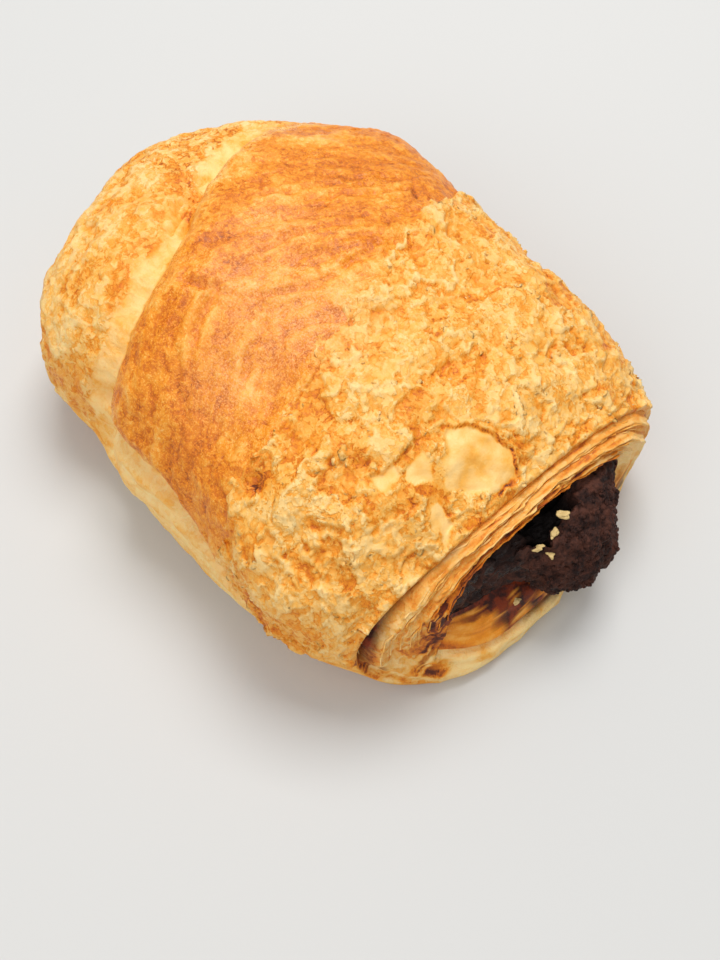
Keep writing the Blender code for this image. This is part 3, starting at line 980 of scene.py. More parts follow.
def filling_grid():
    """The chocolate: plain where it fills the tunnel, crumbly where it bulges, melted beside."""
    angles = ring_angles(FILLING_AROUND, 1)
    inside = blend_sections(TUNNEL, FILLING_SHARES)
    outside = blend_sections(LOBE, np.linspace(0, 1, LOBE_RINGS))
    rings = np.array([outline(shape, angles) for shape in [*inside, *outside]])
    middle = rings[-1].mean(axis=0)
    cap = [rings[-1] + (middle - rings[-1]) * t for t in CAP_SHARES]
    rings = np.concatenate([rings, np.array(cap)])
    normal = normals_of(rings)
    normal[-CAP_FACING_RINGS:] = (1, 0, 0)
    free = smooth_step((rings[..., 0] - 54) / 3)
    shown = smooth_step((rings[..., 0] - 46.5) / 2.0)
    lobe = smooth_step((rings[..., 1] + 7 + 1.5 * wander(rings, 5, 281)) / 3)
    lump = 1.4 * wander(rings, 5, 31) * free
    crumbly = 0.55 * layered(rings, 2.4, 283, 4) + 0.50 * bubbles(rings, 1.8, 291)
    crumbly = crumbly + 0.34 * bubbles(rings, 0.9, 293) - 0.35
    melted = 0.60 * layered(rings, 2.6, 307, 4) + 0.80 * bubbles(rings, 2.2, 309) - 0.3
    melted = melted + 0.28 * bubbles(rings, 1.2, 313)
    detail = (crumbly * lobe + melted * (1 - lobe)) * shown
    under = smooth_step((rings[..., 2] - 10.5) / 3) + free
    hollow = hollow_share(rings)
    lift = lump - FIT_GAP + detail * np.clip(under, 0.15, 1)
    placed = rings + normal * lift[..., None]
    placed[..., 2] -= HOLLOW_DEPTH * hollow
    gloss = 0.9 * (1 - lobe) * smooth_step((wander(rings, 1.8, 311) + 0.05) / 0.3)
    return placed, gloss, lobe, hollow


def quads(rows, columns, close_rows, close_columns):
    """Corner numbers of every quad of a grid of rows and columns."""
    row = np.arange(rows if close_rows else rows - 1)
    column = np.arange(columns if close_columns else columns - 1)
    i, j = np.meshgrid(row, column, indexing="ij")
    k, m = (i + 1) % rows, (j + 1) % columns
    corners = [i * columns + j, i * columns + m, k * columns + m, k * columns + j]
    return np.stack([corner.ravel() for corner in corners], axis=1)


def added(name, data):
    """A new object in the scene that holds the data."""
    made = bpy.data.objects.new(name, data)
    bpy.context.scene.collection.objects.link(made)
    return made


def finished(name, mesh):
    """The data of an edit mesh that is done, under a name."""
    data = bpy.data.meshes.new(name)
    mesh.to_mesh(data)
    mesh.free()
    return data


def piece_from(name, points, faces, attributes, material):
    """A smooth mesh object in the frame's own metres, with a value at each vertex for each attribute."""
    data = bpy.data.meshes.new(name)
    places = (points.reshape(-1, 3) - FOOTPRINT_MIDDLE) * MM
    data.from_pydata(places, [], faces.tolist())
    data.update()
    for title, values in attributes.items():
        layer = data.attributes.new(title, "FLOAT", "POINT")
        layer.data.foreach_set("value", np.ascontiguousarray(values, dtype=np.float32).ravel())
    layer = data.attributes.new("flow", "FLOAT_VECTOR", "POINT")
    layer.data.foreach_set("vector", (flow_of(points) * MM).astype(np.float32).ravel())
    data.shade_smooth()
    data.materials.append(material)
    return added(name, data)


def turn_outward(piece):
    """Turns every face of a closed piece outward."""
    mesh = bmesh.new()
    mesh.from_mesh(piece.data)
    bmesh.ops.recalc_face_normals(mesh, faces=mesh.faces)
    mesh.to_mesh(piece.data)
    mesh.free()
    piece.data.shade_smooth()


def dress(piece, node):
    """Ties a finished piece to the frame."""
    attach(piece, "root")
    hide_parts(node)


def linear(red, green, blue):
    """A colour given as a screen's 0 to 255 values, as the shader takes it."""
    made = []
    for value in (red, green, blue):
        share = value / 255
        made.append(share / 12.92 if share <= 0.04045 else ((share + 0.055) / 1.055) ** 2.4)
    return tuple(made)


class Graph:
    """A node tree that is built by short calls."""

    def __init__(self, tree):
        self.tree = tree

    def node(self, kind, inputs=None, **settings):
        """Adds a node, sets it and gives its inputs a value or a link."""
        made = self.tree.nodes.new(kind)
        for name, value in settings.items():
            setattr(made, name, value)
        for name, value in (inputs or {}).items():
            if isinstance(value, bpy.types.NodeSocket):
                self.tree.links.new(value, made.inputs[name])
            else:
                made.inputs[name].default_value = value
        return made

    def link(self, output, socket):
        self.tree.links.new(output, socket)

    def math(self, operation, first, second, third=None):
        inputs = {0: first, 1: second}
        if third is not None:
            inputs[2] = third
        return self.node("ShaderNodeMath", inputs, operation=operation).outputs[0]

    def weighted(self, start, *parts):
        """The start value with each (weight, value) part added."""
        for weight, value in parts:
            start = self.math("MULTIPLY_ADD", value, weight, start)
        return start

    def attribute(self, name):
        return self.node("ShaderNodeAttribute", attribute_name=name).outputs["Fac"]

    def noise(self, place, size, detail=2.0, roughness=0.5):
        """Noise between 0 and 1 with features of a size in millimetres."""
        inputs = {"Vector": place, "Scale": 1 / (size * MM), "Detail": detail, "Roughness": roughness}
        return self.node("ShaderNodeTexNoise", inputs).outputs["Fac"]

    def spread(self, value, low, high, to_low=0.0, to_high=1.0):
        """Takes low to high onto another range, with nothing past its ends."""
        inputs = {0: value, 1: low, 2: high, 3: to_low, 4: to_high}
        return self.node("ShaderNodeMapRange", inputs).outputs[0]

    def mix(self, factor, first, second):
        inputs = {0: factor, 6: first, 7: second}
        return self.node("ShaderNodeMix", inputs, data_type="RGBA").outputs[2]

    def ramp(self, value, stops):
        """A colour ramp from (place, colour) stops."""
        made = self.node("ShaderNodeValToRGB", {"Fac": value})
        elements = made.color_ramp.elements
        while len(elements) < len(stops):
            elements.new(1.0)
        for element, (place, colour) in zip(elements, stops):
            element.position = place
            element.color = (*colour, 1)
        return made.outputs["Color"]


def bake_stops(colours):
    """The colours of dough from raw pale to nearly burnt."""
    return (
        (0.00, colours.pale),
        (0.20, colours.cream),
        (0.40, colours.gold),
        (0.58, colours.amber),
        (0.75, colours.brown),
        (1.00, colours.dark),
    )


def new_material(name):
    """A material, its node graph and its shader."""
    material = bpy.data.materials.new(name)
    material.use_nodes = True
    return material, Graph(material.node_tree), material.node_tree.nodes["Principled BSDF"]


# The noises that the crust's colour and grain are made of
CrustNoises = namedtuple("CrustNoises", "bent broad fine grain dots flake fleck streaked")


def crust_noises(graph, place):
    """Broad, fine and grainy noise on the crust, and the flakes, flecks, dots and streaks in it."""
    sway = graph.node("ShaderNodeTexNoise", {"Vector": place, "Scale": 1 / (2.2 * MM), "Detail": 2.0})
    bent = graph.node(
        "ShaderNodeVectorMath",
        {0: sway.outputs["Color"], 1: (1.8 * MM,) * 3, 2: place},
        operation="MULTIPLY_ADD",
    ).outputs[0]
    broad = graph.noise(bent, 1.9, 4.0, 0.62)
    fine = graph.noise(bent, 0.62, 3.0, 0.6)
    grain = graph.noise(place, 0.28, 2.0, 0.6)
    dots = graph.math("SUBTRACT", grain, 0.5)
    flake = graph.spread(broad, 0.47, 0.515)
    fleck = graph.spread(fine, 0.49, 0.57)
    flow = graph.node("ShaderNodeAttribute", attribute_name="flow").outputs["Vector"]
    streak = graph.math("SUBTRACT", graph.noise(flow, 0.9, 4.0, 0.6), 0.5)
    streaked = graph.math("MULTIPLY", streak, graph.attribute("wrinkled"))
    return CrustNoises(bent, broad, fine, grain, dots, flake, fleck, streaked)


def torn_layers(graph, place, noises):
    """How much torn layers and fine wrinkles darken the crust, or lighten it, with a painted shadow just
    below each flake's edge.
    """
    # The gap just below each flake's edge is darkened: painted shadow.
    gap_shadow = graph.spread(noises.broad, 0.40, 0.47)
    gap_shadow = graph.math("MULTIPLY", gap_shadow, graph.math("SUBTRACT", 1.0, noises.flake))
    tears = graph.weighted(0.12, (-0.20, noises.flake), (0.14, gap_shadow), (-0.13, noises.fleck))
    level = graph.math("SUBTRACT", graph.noise(noises.bent, 4.5, 3.0, 0.55), 0.5)
    level = graph.math("ABSOLUTE", level, 0.0)
    wrinkle = graph.spread(level, 0.0, 0.03, 1.0, 0.0)
    broken = graph.spread(graph.noise(place, 5.0, 1.0), 0.42, 0.56)
    wrinkle = graph.math("MULTIPLY", wrinkle, broken)
    return graph.weighted(tears, (0.15, wrinkle))


def crust_browning(graph, place, noises, blotch, speckled):
    """The browning that the vertices carry, with torn layers and their painted shadow, patches, streaks,
    dots, painted highlight dots and specks.
    """
    patches = graph.math("SUBTRACT", graph.noise(place, 3.4, 3.0), 0.5)
    whole = graph.attribute("wrinkled")
    mottle = graph.spread(graph.noise(noises.bent, 1.15, 4.0, 0.6), 0.41, 0.59)
    mottle = graph.math("MULTIPLY", graph.math("SUBTRACT", mottle, 0.5), whole)
    spots = graph.math("MULTIPLY", graph.spread(noises.fine, 0.40, 0.60), whole)
    # Pale dots on the fine grain: painted highlights.
    highlight_dots = graph.math("MULTIPLY", graph.spread(noises.grain, 0.54, 0.64), whole)
    browning = graph.weighted(graph.attribute("browning"), (blotch, patches), (0.14, noises.dots))
    browning = graph.weighted(browning, (0.27, noises.streaked), (-0.19, highlight_dots), (0.08, mottle))
    browning = graph.weighted(browning, (-0.08, spots), (0.07, whole))
    tears = torn_layers(graph, place, noises)
    browning = graph.math("MULTIPLY_ADD", tears, graph.attribute("torn"), browning)
    clusters = graph.spread(graph.noise(place, 0.42, 2.0), 0.50, 0.60)
    clusters = graph.math("MULTIPLY", clusters, graph.attribute("specks"))
    return graph.math("MULTIPLY_ADD", clusters, speckled, browning)


def crust_material(name, colours, blotch, speckled, glow):
    """Baked dough: browned, torn, speckled, dull and pinkish, stained and glossy as its attributes say. The
    pinkish mix is a painted sheen on the glaze and flaky crust, and the stain colour also paints shade in
    places on the lip.
    """
    material, graph, shader = new_material(name)
    place = graph.node("ShaderNodeTexCoord").outputs["Object"]
    noises = crust_noises(graph, place)
    browning = crust_browning(graph, place, noises, blotch, speckled)
    colour = graph.ramp(browning, bake_stops(colours))
    # A grainy pinkish mix: painted sheen on the glaze and flaky crust, and a dull pinkish tone on the lip.
    sheen_and_dust = graph.spread(noises.grain, 0.42, 0.62, 0.10, 0.85)
    sheen_and_dust = graph.math("MULTIPLY", graph.attribute("dusty"), sheen_and_dust)
    colour = graph.mix(sheen_and_dust, colour, (*colours.sheen_and_dust, 1))
    # The stain colours: soaked-in chocolate, and painted shade in places on the lip.
    soaked = graph.spread(noises.broad, 0.42, 0.58)
    soaked = graph.mix(soaked, (*colours.stain, 1), (*colours.soaked, 1))
    colour = graph.mix(graph.attribute("stain"), colour, soaked)
    graph.link(colour, shader.inputs["Base Color"])
    rough = graph.spread(graph.attribute("gloss"), 0.0, 1.0, *CRUST_ROUGHNESS)
    rough = graph.weighted(rough, (0.3, noises.dots))
    graph.link(rough, shader.inputs["Roughness"])
    shader.inputs["Specular IOR Level"].default_value = CRUST_SPECULAR
    shader.inputs["Subsurface Weight"].default_value = glow
    shader.inputs["Subsurface Radius"].default_value = GLOW_COLOURS
    shader.inputs["Subsurface Scale"].default_value = GLOW_REACH * MM
    height = graph.weighted(0.0, (0.9, noises.flake), (0.5, noises.fleck))
    height = graph.math("MULTIPLY", height, graph.attribute("torn"))
    height = graph.weighted(height, (0.6, noises.grain), (0.3, noises.fine), (-1.6, noises.streaked))
    inputs = {"Height": height, "Strength": 0.75, "Distance": CRUST_GRAIN * MM}
    graph.link(graph.node("ShaderNodeBump", inputs).outputs["Normal"], shader.inputs["Normal"])
    return material


def chocolate_material(colours):
    """Chocolate: matt and crumbly, glossy where it melted, and painted nearly black as shade where it dips
    under the upper lip.
    """
    material, graph, shader = new_material("chocolate_filling_finish")
    place = graph.node("ShaderNodeTexCoord").outputs["Object"]
    crumb = graph.noise(place, 0.8, 4.0, 0.65)
    bloom = graph.noise(place, 3.0, 3.0)
    tone = graph.weighted(0.0, (0.55, bloom), (0.6, crumb))
    tone = graph.spread(tone, 0.47, 0.70)
    # Where the chocolate dips, the bloom fades and the colour turns nearly black: painted shade.
    tone = graph.math("MULTIPLY", tone, graph.spread(graph.attribute("hollow"), 0.0, 0.7, 1.0, 0.0))
    tone = graph.math("MULTIPLY", tone, graph.spread(graph.attribute("gloss"), 0.0, 0.8, 1.0, 0.12))
    colour = graph.mix(tone, (*colours.chocolate, 1), (*colours.chocolate_bloom, 1))
    colour = graph.mix(graph.attribute("hollow"), colour, (*colours.hollow, 1))
    graph.link(colour, shader.inputs["Base Color"])
    gloss = graph.attribute("gloss")
    graph.link(graph.spread(gloss, 0.0, 0.7, *CHOCOLATE_ROUGHNESS), shader.inputs["Roughness"])
    shader.inputs["Specular IOR Level"].default_value = CHOCOLATE_SPECULAR
    height = graph.weighted(0.0, (1.0, crumb), (0.7, graph.noise(place, 0.3, 2.0)))
    strength = graph.spread(gloss, 0.0, 1.0, 0.85, 1.0)
    inputs = {"Height": height, "Strength": strength, "Distance": CHOCOLATE_GRAIN * MM}
    graph.link(graph.node("ShaderNodeBump", inputs).outputs["Normal"], shader.inputs["Normal"])
    return material


def plain_crumb_material(colours):
    """The few pale crumbs of dough that lie on the chocolate."""
    material, _, shader = new_material("pale_crumb_finish")
    shader.inputs["Base Color"].default_value = (*colours.crumb, 1)
    shader.inputs["Roughness"].default_value = 0.6
    return material


def flake_shape(name, seed):
    """One thin curled flake about a millimetre wide, as a closed mesh, for scattering."""
    spokes, bands = 11, 2
    mesh = bmesh.new()
    sheets = []
    for face_side in (1, -1):
        centre = mesh.verts.new((0, 0, 0.05 * face_side * MM))
        rows = [[centre] * spokes]
        for band in range(1, bands + 1):
            row = []
            for spoke in range(spokes):
                turn = 2 * math.pi * spoke / spokes
                reach = 0.5 * (1 + 0.45 * noise.noise((math.cos(turn) * 1.3, math.sin(turn) * 1.3, seed)))
                reach *= band / bands
                x, y = reach * math.cos(turn), 0.75 * reach * math.sin(turn)
                z = 0.55 * x * x - 0.12 + 0.10 * noise.noise((x * 3, y * 3, seed + 9.5))
                z += 0.03 * face_side * (1 - (band / bands) ** 2)
                row.append(mesh.verts.new((x * MM, y * MM, z * MM)))
            rows.append(row)
        sheets.append(rows)
        for first, second in zip(rows, rows[1:]):
            for spoke in range(spokes):
                after = (spoke + 1) % spokes
                corners = [first[spoke], first[after], second[after], second[spoke]]
                corners = list(dict.fromkeys(corners))
                mesh.faces.new(corners)
    bmesh.ops.remove_doubles(mesh, verts=mesh.verts, dist=0.001 * MM)
    bmesh.ops.recalc_face_normals(mesh, faces=mesh.faces)
    return bpy.data.objects.new(name, finished(name, mesh))


def crumb_shape(name, seed):
    """One rough crumb about a millimetre wide, for scattering."""
    mesh = bmesh.new()
    bmesh.ops.create_icosphere(mesh, subdivisions=2, radius=0.5 * MM)
    for vert in mesh.verts:
        way = vert.co.normalized()
        vert.co *= 1 + 0.5 * noise.noise(way * 1.6 + Vector((seed, 0, 0)))
        vert.co.z *= 0.8
    return bpy.data.objects.new(name, finished(name, mesh))


def new_tree(name, sockets):
    """An empty geometry node tree with named inputs, and its input and output nodes."""
    tree = bpy.data.node_groups.new(name, "GeometryNodeTree")
    for title, kind in sockets:
        tree.interface.new_socket(title, in_out="INPUT", socket_type=kind)
    tree.interface.new_socket("Geometry", in_out="OUTPUT", socket_type="NodeSocketGeometry")
    graph = Graph(tree)
    return graph, graph.node("NodeGroupInput").outputs, graph.node("NodeGroupOutput").inputs


def end_tree(graph, geometry, given, result):
    """Ends a tree: makes its instances real and gives them the material."""
    realized = graph.node("GeometryNodeRealizeInstances", {"Geometry": geometry})
    painted = graph.node(
        "GeometryNodeSetMaterial",
        {"Geometry": realized.outputs[0], "Material": given["Material"]},
    )
    graph.link(painted.outputs[0], result["Geometry"])
    return graph.tree


def scatter_tree():
    """Scatters small pieces over a surface, thicker where its attribute called share is high."""
    graph, given, result = new_tree("scatter", (
        ("Geometry", "NodeSocketGeometry"),
        ("Pieces", "NodeSocketCollection"),
        ("Per square metre", "NodeSocketFloat"),
        ("Seed", "NodeSocketInt"),
        ("Smallest", "NodeSocketFloat"),
        ("Largest", "NodeSocketFloat"),
        ("Tilt", "NodeSocketFloat"),
        ("Sink", "NodeSocketFloat"),
        ("Palest", "NodeSocketFloat"),
        ("Darkest", "NodeSocketFloat"),
        ("Material", "NodeSocketMaterial"),
    ))
    share = graph.node("GeometryNodeInputNamedAttribute", {"Name": "share"}, data_type="FLOAT")
    density = graph.math("MULTIPLY", share.outputs[0], given["Per square metre"])
    spots = graph.node(
        "GeometryNodeDistributePointsOnFaces",
        {"Mesh": given["Geometry"], "Density": density, "Seed": given["Seed"]},
    )
    pieces = graph.node(
        "GeometryNodeCollectionInfo",
        {"Collection": given["Pieces"], "Separate Children": True, "Reset Children": True},
    )
    lean = graph.math("MULTIPLY", given["Tilt"], -1.0)
    least = graph.node("ShaderNodeCombineXYZ", {0: lean, 1: lean, 2: 0.0})
    most = graph.node("ShaderNodeCombineXYZ", {0: given["Tilt"], 1: given["Tilt"], 2: 2 * math.pi})
    turn = graph.node(
        "FunctionNodeRandomValue",
        {0: least.outputs[0], 1: most.outputs[0], "Seed": given["Seed"]},
        data_type="FLOAT_VECTOR",
    )
    turned = graph.node("FunctionNodeEulerToRotation", {0: turn.outputs[0]})
    rotation = graph.node(
        "FunctionNodeRotateRotation",
        {0: spots.outputs["Rotation"], 1: turned.outputs[0]},
        rotation_space="LOCAL",
    )
    size = graph.node(
        "FunctionNodeRandomValue",
        {2: given["Smallest"], 3: given["Largest"], "Seed": given["Seed"]},
        data_type="FLOAT",
    )
    placed = graph.node(
        "GeometryNodeInstanceOnPoints",
        {
            "Points": spots.outputs["Points"],
            "Instance": pieces.outputs[0],
            "Pick Instance": True,
            "Rotation": rotation.outputs[0],
            "Scale": size.outputs[1],
        },
    )
    shift = graph.node("ShaderNodeCombineXYZ", {2: graph.math("MULTIPLY", given["Sink"], -1.0)})
    moved = graph.node(
        "GeometryNodeTranslateInstances",
        {"Instances": placed.outputs[0], "Translation": shift.outputs[0], "Local Space": True},
    )
    tone = graph.node(
        "FunctionNodeRandomValue",
        {2: given["Palest"], 3: given["Darkest"], "Seed": given["Seed"]},
        data_type="FLOAT",
    )
    toned = graph.node(
        "GeometryNodeStoreNamedAttribute",
        {"Geometry": moved.outputs[0], "Name": "browning", "Value": tone.outputs[1]},
        data_type="FLOAT",
        domain="INSTANCE",
    )
    return end_tree(graph, toned.outputs[0], given, result)


def sheets_tree():
    """Raises a thin ragged sheet of dough from every line of a mesh of lines."""
    graph, given, result = new_tree("cut_layers", (
        ("Geometry", "NodeSocketGeometry"),
        ("Height", "NodeSocketFloat"),
        ("Thickness", "NodeSocketFloat"),
        ("Ragged size", "NodeSocketFloat"),
        ("Material", "NodeSocketMaterial"),
    ))
    out = graph.node("GeometryNodeInputNamedAttribute", {"Name": "out"}, data_type="FLOAT_VECTOR")
    where = graph.node("GeometryNodeInputPosition").outputs[0]
    scale = graph.math("DIVIDE", 1.0, given["Ragged size"])
    ragged = graph.node("ShaderNodeTexNoise", {"Vector": where, "Scale": scale, "Detail": 3.0})
    ragged = graph.spread(ragged.outputs[0], 0.36, 0.66, 0.05, 1.3)
    height = graph.math("MULTIPLY", given["Height"], ragged)
    rise = graph.node("ShaderNodeVectorMath", {0: out.outputs[0], "Scale": height}, operation="SCALE")
    sheet = graph.node(
        "GeometryNodeExtrudeMesh",
        {"Mesh": given["Geometry"], "Offset": rise.outputs[0], "Offset Scale": 1.0},
        mode="EDGES",
    )
    thick = graph.node(
        "GeometryNodeExtrudeMesh",
        {"Mesh": sheet.outputs[0], "Offset Scale": given["Thickness"], "Individual": False},
        mode="FACES",
    )
    back = graph.node("GeometryNodeFlipFaces", {0: sheet.outputs[0]})
    both = graph.node("GeometryNodeJoinGeometry")
    graph.link(thick.outputs[0], both.inputs[0])
    graph.link(back.outputs[0], both.inputs[0])
    welded = graph.node(
        "GeometryNodeMergeByDistance",
        {"Geometry": both.outputs[0], "Distance": 0.002 * MM},
    )
    return end_tree(graph, welded.outputs[0], given, result)


def grown(name, base, tree, values):
    """The plain mesh that a node tree makes from a base mesh."""
    carrier = added(name + "_carrier", base)
    modifier = carrier.modifiers.new("grow", "NODES")
    modifier.node_group = tree
    for socket in tree.interface.items_tree:
        if socket.item_type == "SOCKET" and socket.in_out == "INPUT" and socket.name in values:
            modifier[socket.identifier] = values[socket.name]
    bpy.context.view_layer.update()
    graph = bpy.context.evaluated_depsgraph_get()
    data = bpy.data.meshes.new_from_object(carrier.evaluated_get(graph), depsgraph=graph)
    data.name = name
    carrier.modifiers.remove(modifier)
    bpy.data.objects.remove(carrier)
    if not data.polygons:
        raise RuntimeError(f"{name} came out empty")
    data.shade_smooth()
    return added(name, data)


def shape_collection(name, make, count):
    """A hidden collection of shapes for scattering."""
    collection = bpy.data.collections.new(name)
    for k in range(count):
        collection.objects.link(make(f"{name}_{k}", 3.7 * k + 1.3))
    return collection


def discard(collection):
    for shape in list(collection.objects):
        bpy.data.objects.remove(shape)
    bpy.data.collections.remove(collection)


def add_constants(piece, values):
    """Gives every vertex of a piece the same value for each attribute that it lacks."""
    for title, value in values.items():
        if title not in piece.data.attributes:
            layer = piece.data.attributes.new(title, "FLOAT", "POINT")
            layer.data.foreach_set("value", [value] * len(piece.data.vertices))


class PastryColours(PropertyGroup):
    """Colours of the dough from raw to burnt, and of the chocolate."""

    pale: FloatVectorProperty(
        name="Pale dough", description="Dough that hardly browned",
        subtype="COLOR", min=0, max=1, default=linear(252, 218, 150),
    )
    cream: FloatVectorProperty(
        name="Cream dough", description="Dough of the cut layers and the tops of flakes",
        subtype="COLOR", min=0, max=1, default=linear(249, 204, 128),
    )
    gold: FloatVectorProperty(
        name="Golden crust", description="The flaky crust",
        subtype="COLOR", min=0, max=1, default=linear(244, 180, 82),
    )
    amber: FloatVectorProperty(
        name="Amber crust", description="The glazed crust",
        subtype="COLOR", min=0, max=1, default=linear(236, 146, 30),
    )
    brown: FloatVectorProperty(
        name="Brown crust", description="Crust that baked darker",
        subtype="COLOR", min=0, max=1, default=linear(208, 108, 16),
    )
    dark: FloatVectorProperty(
        name="Dark crust", description="Crust that nearly burnt",
        subtype="COLOR", min=0, max=1, default=linear(92, 36, 12),
    )
    # Pinkish colour of the painted sheen, and of the lip's dull pinkish tone.
    sheen_and_dust: FloatVectorProperty(
        name="Dusty glaze", description="The glaze where it is dull and a little pink",
        subtype="COLOR", min=0, max=1, default=linear(244, 178, 122),
    )
    # Stain colours: chocolate soaked into the dough, and painted shade in the lip's crack and crevice and
    # over the upper lip.
    stain: FloatVectorProperty(
        name="Chocolate stain", description="Dough that chocolate has soaked",
        subtype="COLOR", min=0, max=1, default=linear(62, 22, 14),
    )
    soaked: FloatVectorProperty(
        name="Thin stain", description="Dough that chocolate has coloured thinly",
        subtype="COLOR", min=0, max=1, default=linear(128, 48, 16),
    )
    chocolate: FloatVectorProperty(
        name="Chocolate", description="The chocolate's dark parts",
        subtype="COLOR", min=0, max=1, default=linear(30, 13, 10),
    )
    chocolate_bloom: FloatVectorProperty(
        name="Chocolate bloom", description="The chocolate's lighter, crumbly parts",
        subtype="COLOR", min=0, max=1, default=linear(84, 48, 36),
    )
    # Nearly black, for the painted shade where the chocolate dips under the upper lip.
    hollow: FloatVectorProperty(
        name="Chocolate hollow", description="The chocolate inside its hollow",
        subtype="COLOR", min=0, max=1, default=linear(12, 5, 4),
    )
    crumb: FloatVectorProperty(
        name="Pale crumb", description="Crumbs of dough on the chocolate",
        subtype="COLOR", min=0, max=1, default=linear(214, 184, 122),
    )


class PastryFlakes(PropertyGroup):
    """Sizes and numbers of what is scattered or layered on the pastry."""

    flake_density: FloatProperty(
        name="Flake density", description="Loose flakes on a square metre of flaky crust",
        default=170000.0, min=0,
    )
    flake_smallest: FloatProperty(
        name="Smallest flake", description="Scale of the smallest flake, about a millimetre wide at 1",
        default=0.7, min=0.1,
    )
    flake_largest: FloatProperty(
        name="Largest flake", description="Scale of the largest flake", default=2.4, min=0.1,
    )
    sheet_height: FloatProperty(
        name="Layer height", description="How far a cut layer stands out of the lip",
        default=0.0006, min=0, unit="LENGTH", subtype="DISTANCE", precision=5,
    )
    sheet_thickness: FloatProperty(
        name="Layer thickness", description="Thickness of a cut layer's edge",
        default=0.00018, min=0, unit="LENGTH", subtype="DISTANCE", precision=5,
    )
    crumb_density: FloatProperty(
        name="Crumb density", description="Chocolate crumbs on a square metre of chocolate",
        default=900000.0, min=0,
    )
    seed: IntProperty(name="Seed", description="Start of every random draw", default=4, min=0)


class PASTRY_OT_skin(Operator):
    """Build the dough's skin: glazed crust, groove, pale lower layer, lips and far rim"""

    bl_idname = "pastry.skin"
    bl_label = "Dough skin"

    def execute(self, context):
        grid, finish = skin_grid()
        material = crust_material("glazed_crust_finish", context.scene.pastry_colours, 0.16, 0.0, CRUST_GLOW)
        piece = piece_from("dough_skin", grid, quads(*grid.shape[:2], True, True), finish, material)
        turn_outward(piece)
        dress(piece, "pastry")
        return {"FINISHED"}


class PASTRY_OT_flaky_crust(Operator):
    """Build the raised, flaky crust between the glazed crust and the mouth"""

    bl_idname = "pastry.flaky_crust"
    bl_label = "Flaky crust"

    def execute(self, context):
        grid, finish, mask = shell_grid()
        faces = quads(*grid.shape[:2], False, False)
        shown = mask.ravel()[faces].max(axis=1) > 0.01
        material = crust_material("flaky_crust_finish", context.scene.pastry_colours, 0.14, 0.12, 0.0)
        piece = piece_from("flaky_crust", grid, faces[shown], finish, material)
        mesh = bmesh.new()
        mesh.from_mesh(piece.data)
        loose = [vert for vert in mesh.verts if not vert.link_faces]
        bmesh.ops.delete(mesh, geom=loose, context="VERTS")
        mesh.faces.ensure_lookup_table()
        middle_face = mesh.faces[len(mesh.faces) // 2]
        if middle_face.normal.dot(middle_face.calc_center_median() - Vector((0, 0, 0.014))) < 0:
            bmesh.ops.reverse_faces(mesh, faces=mesh.faces)
        mesh.to_mesh(piece.data)
        mesh.free()
        dress(piece, "pastry")
        return {"FINISHED"}


class PASTRY_OT_loose_flakes(Operator):
    """Scatter thin curled flakes over the flaky crust"""

    bl_idname = "pastry.loose_flakes"
    bl_label = "Loose flakes"

    def execute(self, context):
        sizes = context.scene.pastry_flakes
        base = bpy.data.objects["flaky_crust"].data
        shapes = shape_collection("flake_shapes", flake_shape, 7)
        material = crust_material("loose_flake_finish", context.scene.pastry_colours, 0.10, 0.0, 0.0)
        piece = grown("loose_flakes", base, scatter_tree(), {
            "Pieces": shapes,
            "Per square metre": sizes.flake_density,
            "Seed": sizes.seed,
            "Smallest": sizes.flake_smallest,
            "Largest": sizes.flake_largest,
            "Tilt": 0.20,
            "Sink": 0.13 * MM,
            "Palest": 0.08,
            "Darkest": 0.36,
            "Material": material,
        })
        discard(shapes)
        add_constants(piece, {"gloss": 0.45, "torn": 0.2})
        dress(piece, "pastry")
        return {"FINISHED"}


def lip_lines():
    """Lines along the lip, one for each cut layer, with the way that each point faces."""
    angles = np.radians(np.linspace(*CUT_LAYER_ANGLES, CUT_LAYER_POINTS))
    crust = crust_surface([0.998, 1.0], angles)[0][-1]
    mouth = outline(TUNNEL[-1], angles)
    rows = lip_surface(crust, mouth, angles, CUT_LAYER_SHARES)[0]
    out = rows - rows.mean(axis=(0, 1)) * (0, 1, 1)
    out = (out - out[..., :1] * (1, 0, 0)) * (0, 1, 1)
    out = out / np.linalg.norm(out, axis=2, keepdims=True) * 0.75 + (0.66, 0, 0)
    return rows, out


class PASTRY_OT_cut_layers(Operator):
    """Raise the thin ragged edges of the dough's layers along the lip"""

    bl_idname = "pastry.cut_layers"
    bl_label = "Cut layers"

    def execute(self, context):
        sizes = context.scene.pastry_flakes
        rows, out = lip_lines()
        count, points = rows.shape[:2]
        base = bpy.data.meshes.new("lip_lines")
        start = np.arange(count * points).reshape(count, points)
        edges = np.stack([start[:, :-1].ravel(), start[:, 1:].ravel()], axis=1)
        places = (rows.reshape(-1, 3) - FOOTPRINT_MIDDLE) * MM - out.reshape(-1, 3) * 0.15 * MM
        base.from_pydata(places, edges.tolist(), [])
        layer = base.attributes.new("out", "FLOAT_VECTOR", "POINT")
        layer.data.foreach_set("vector", out.astype(np.float32).ravel())
        inner_lines = smooth_step((np.arange(count)[:, None] / (count - 1) - 0.35) / 0.5)
        browning = 0.30 + 0.30 * layered(rows, 4, 331) + 0.36 * inner_lines
        layer = base.attributes.new("browning", "FLOAT", "POINT")
        layer.data.foreach_set("value", browning.astype(np.float32).ravel())
        material = crust_material("cut_layer_finish", context.scene.pastry_colours, 0.14, 0.0, 0.0)
        piece = grown("cut_layers", base, sheets_tree(), {
            "Height": sizes.sheet_height,
            "Thickness": sizes.sheet_thickness,
            "Ragged size": 2.2 * MM,
            "Material": material,
        })
        turn_outward(piece)
        add_constants(piece, {"gloss": 0.3, "torn": 0.2})
        dress(piece, "pastry")
        return {"FINISHED"}


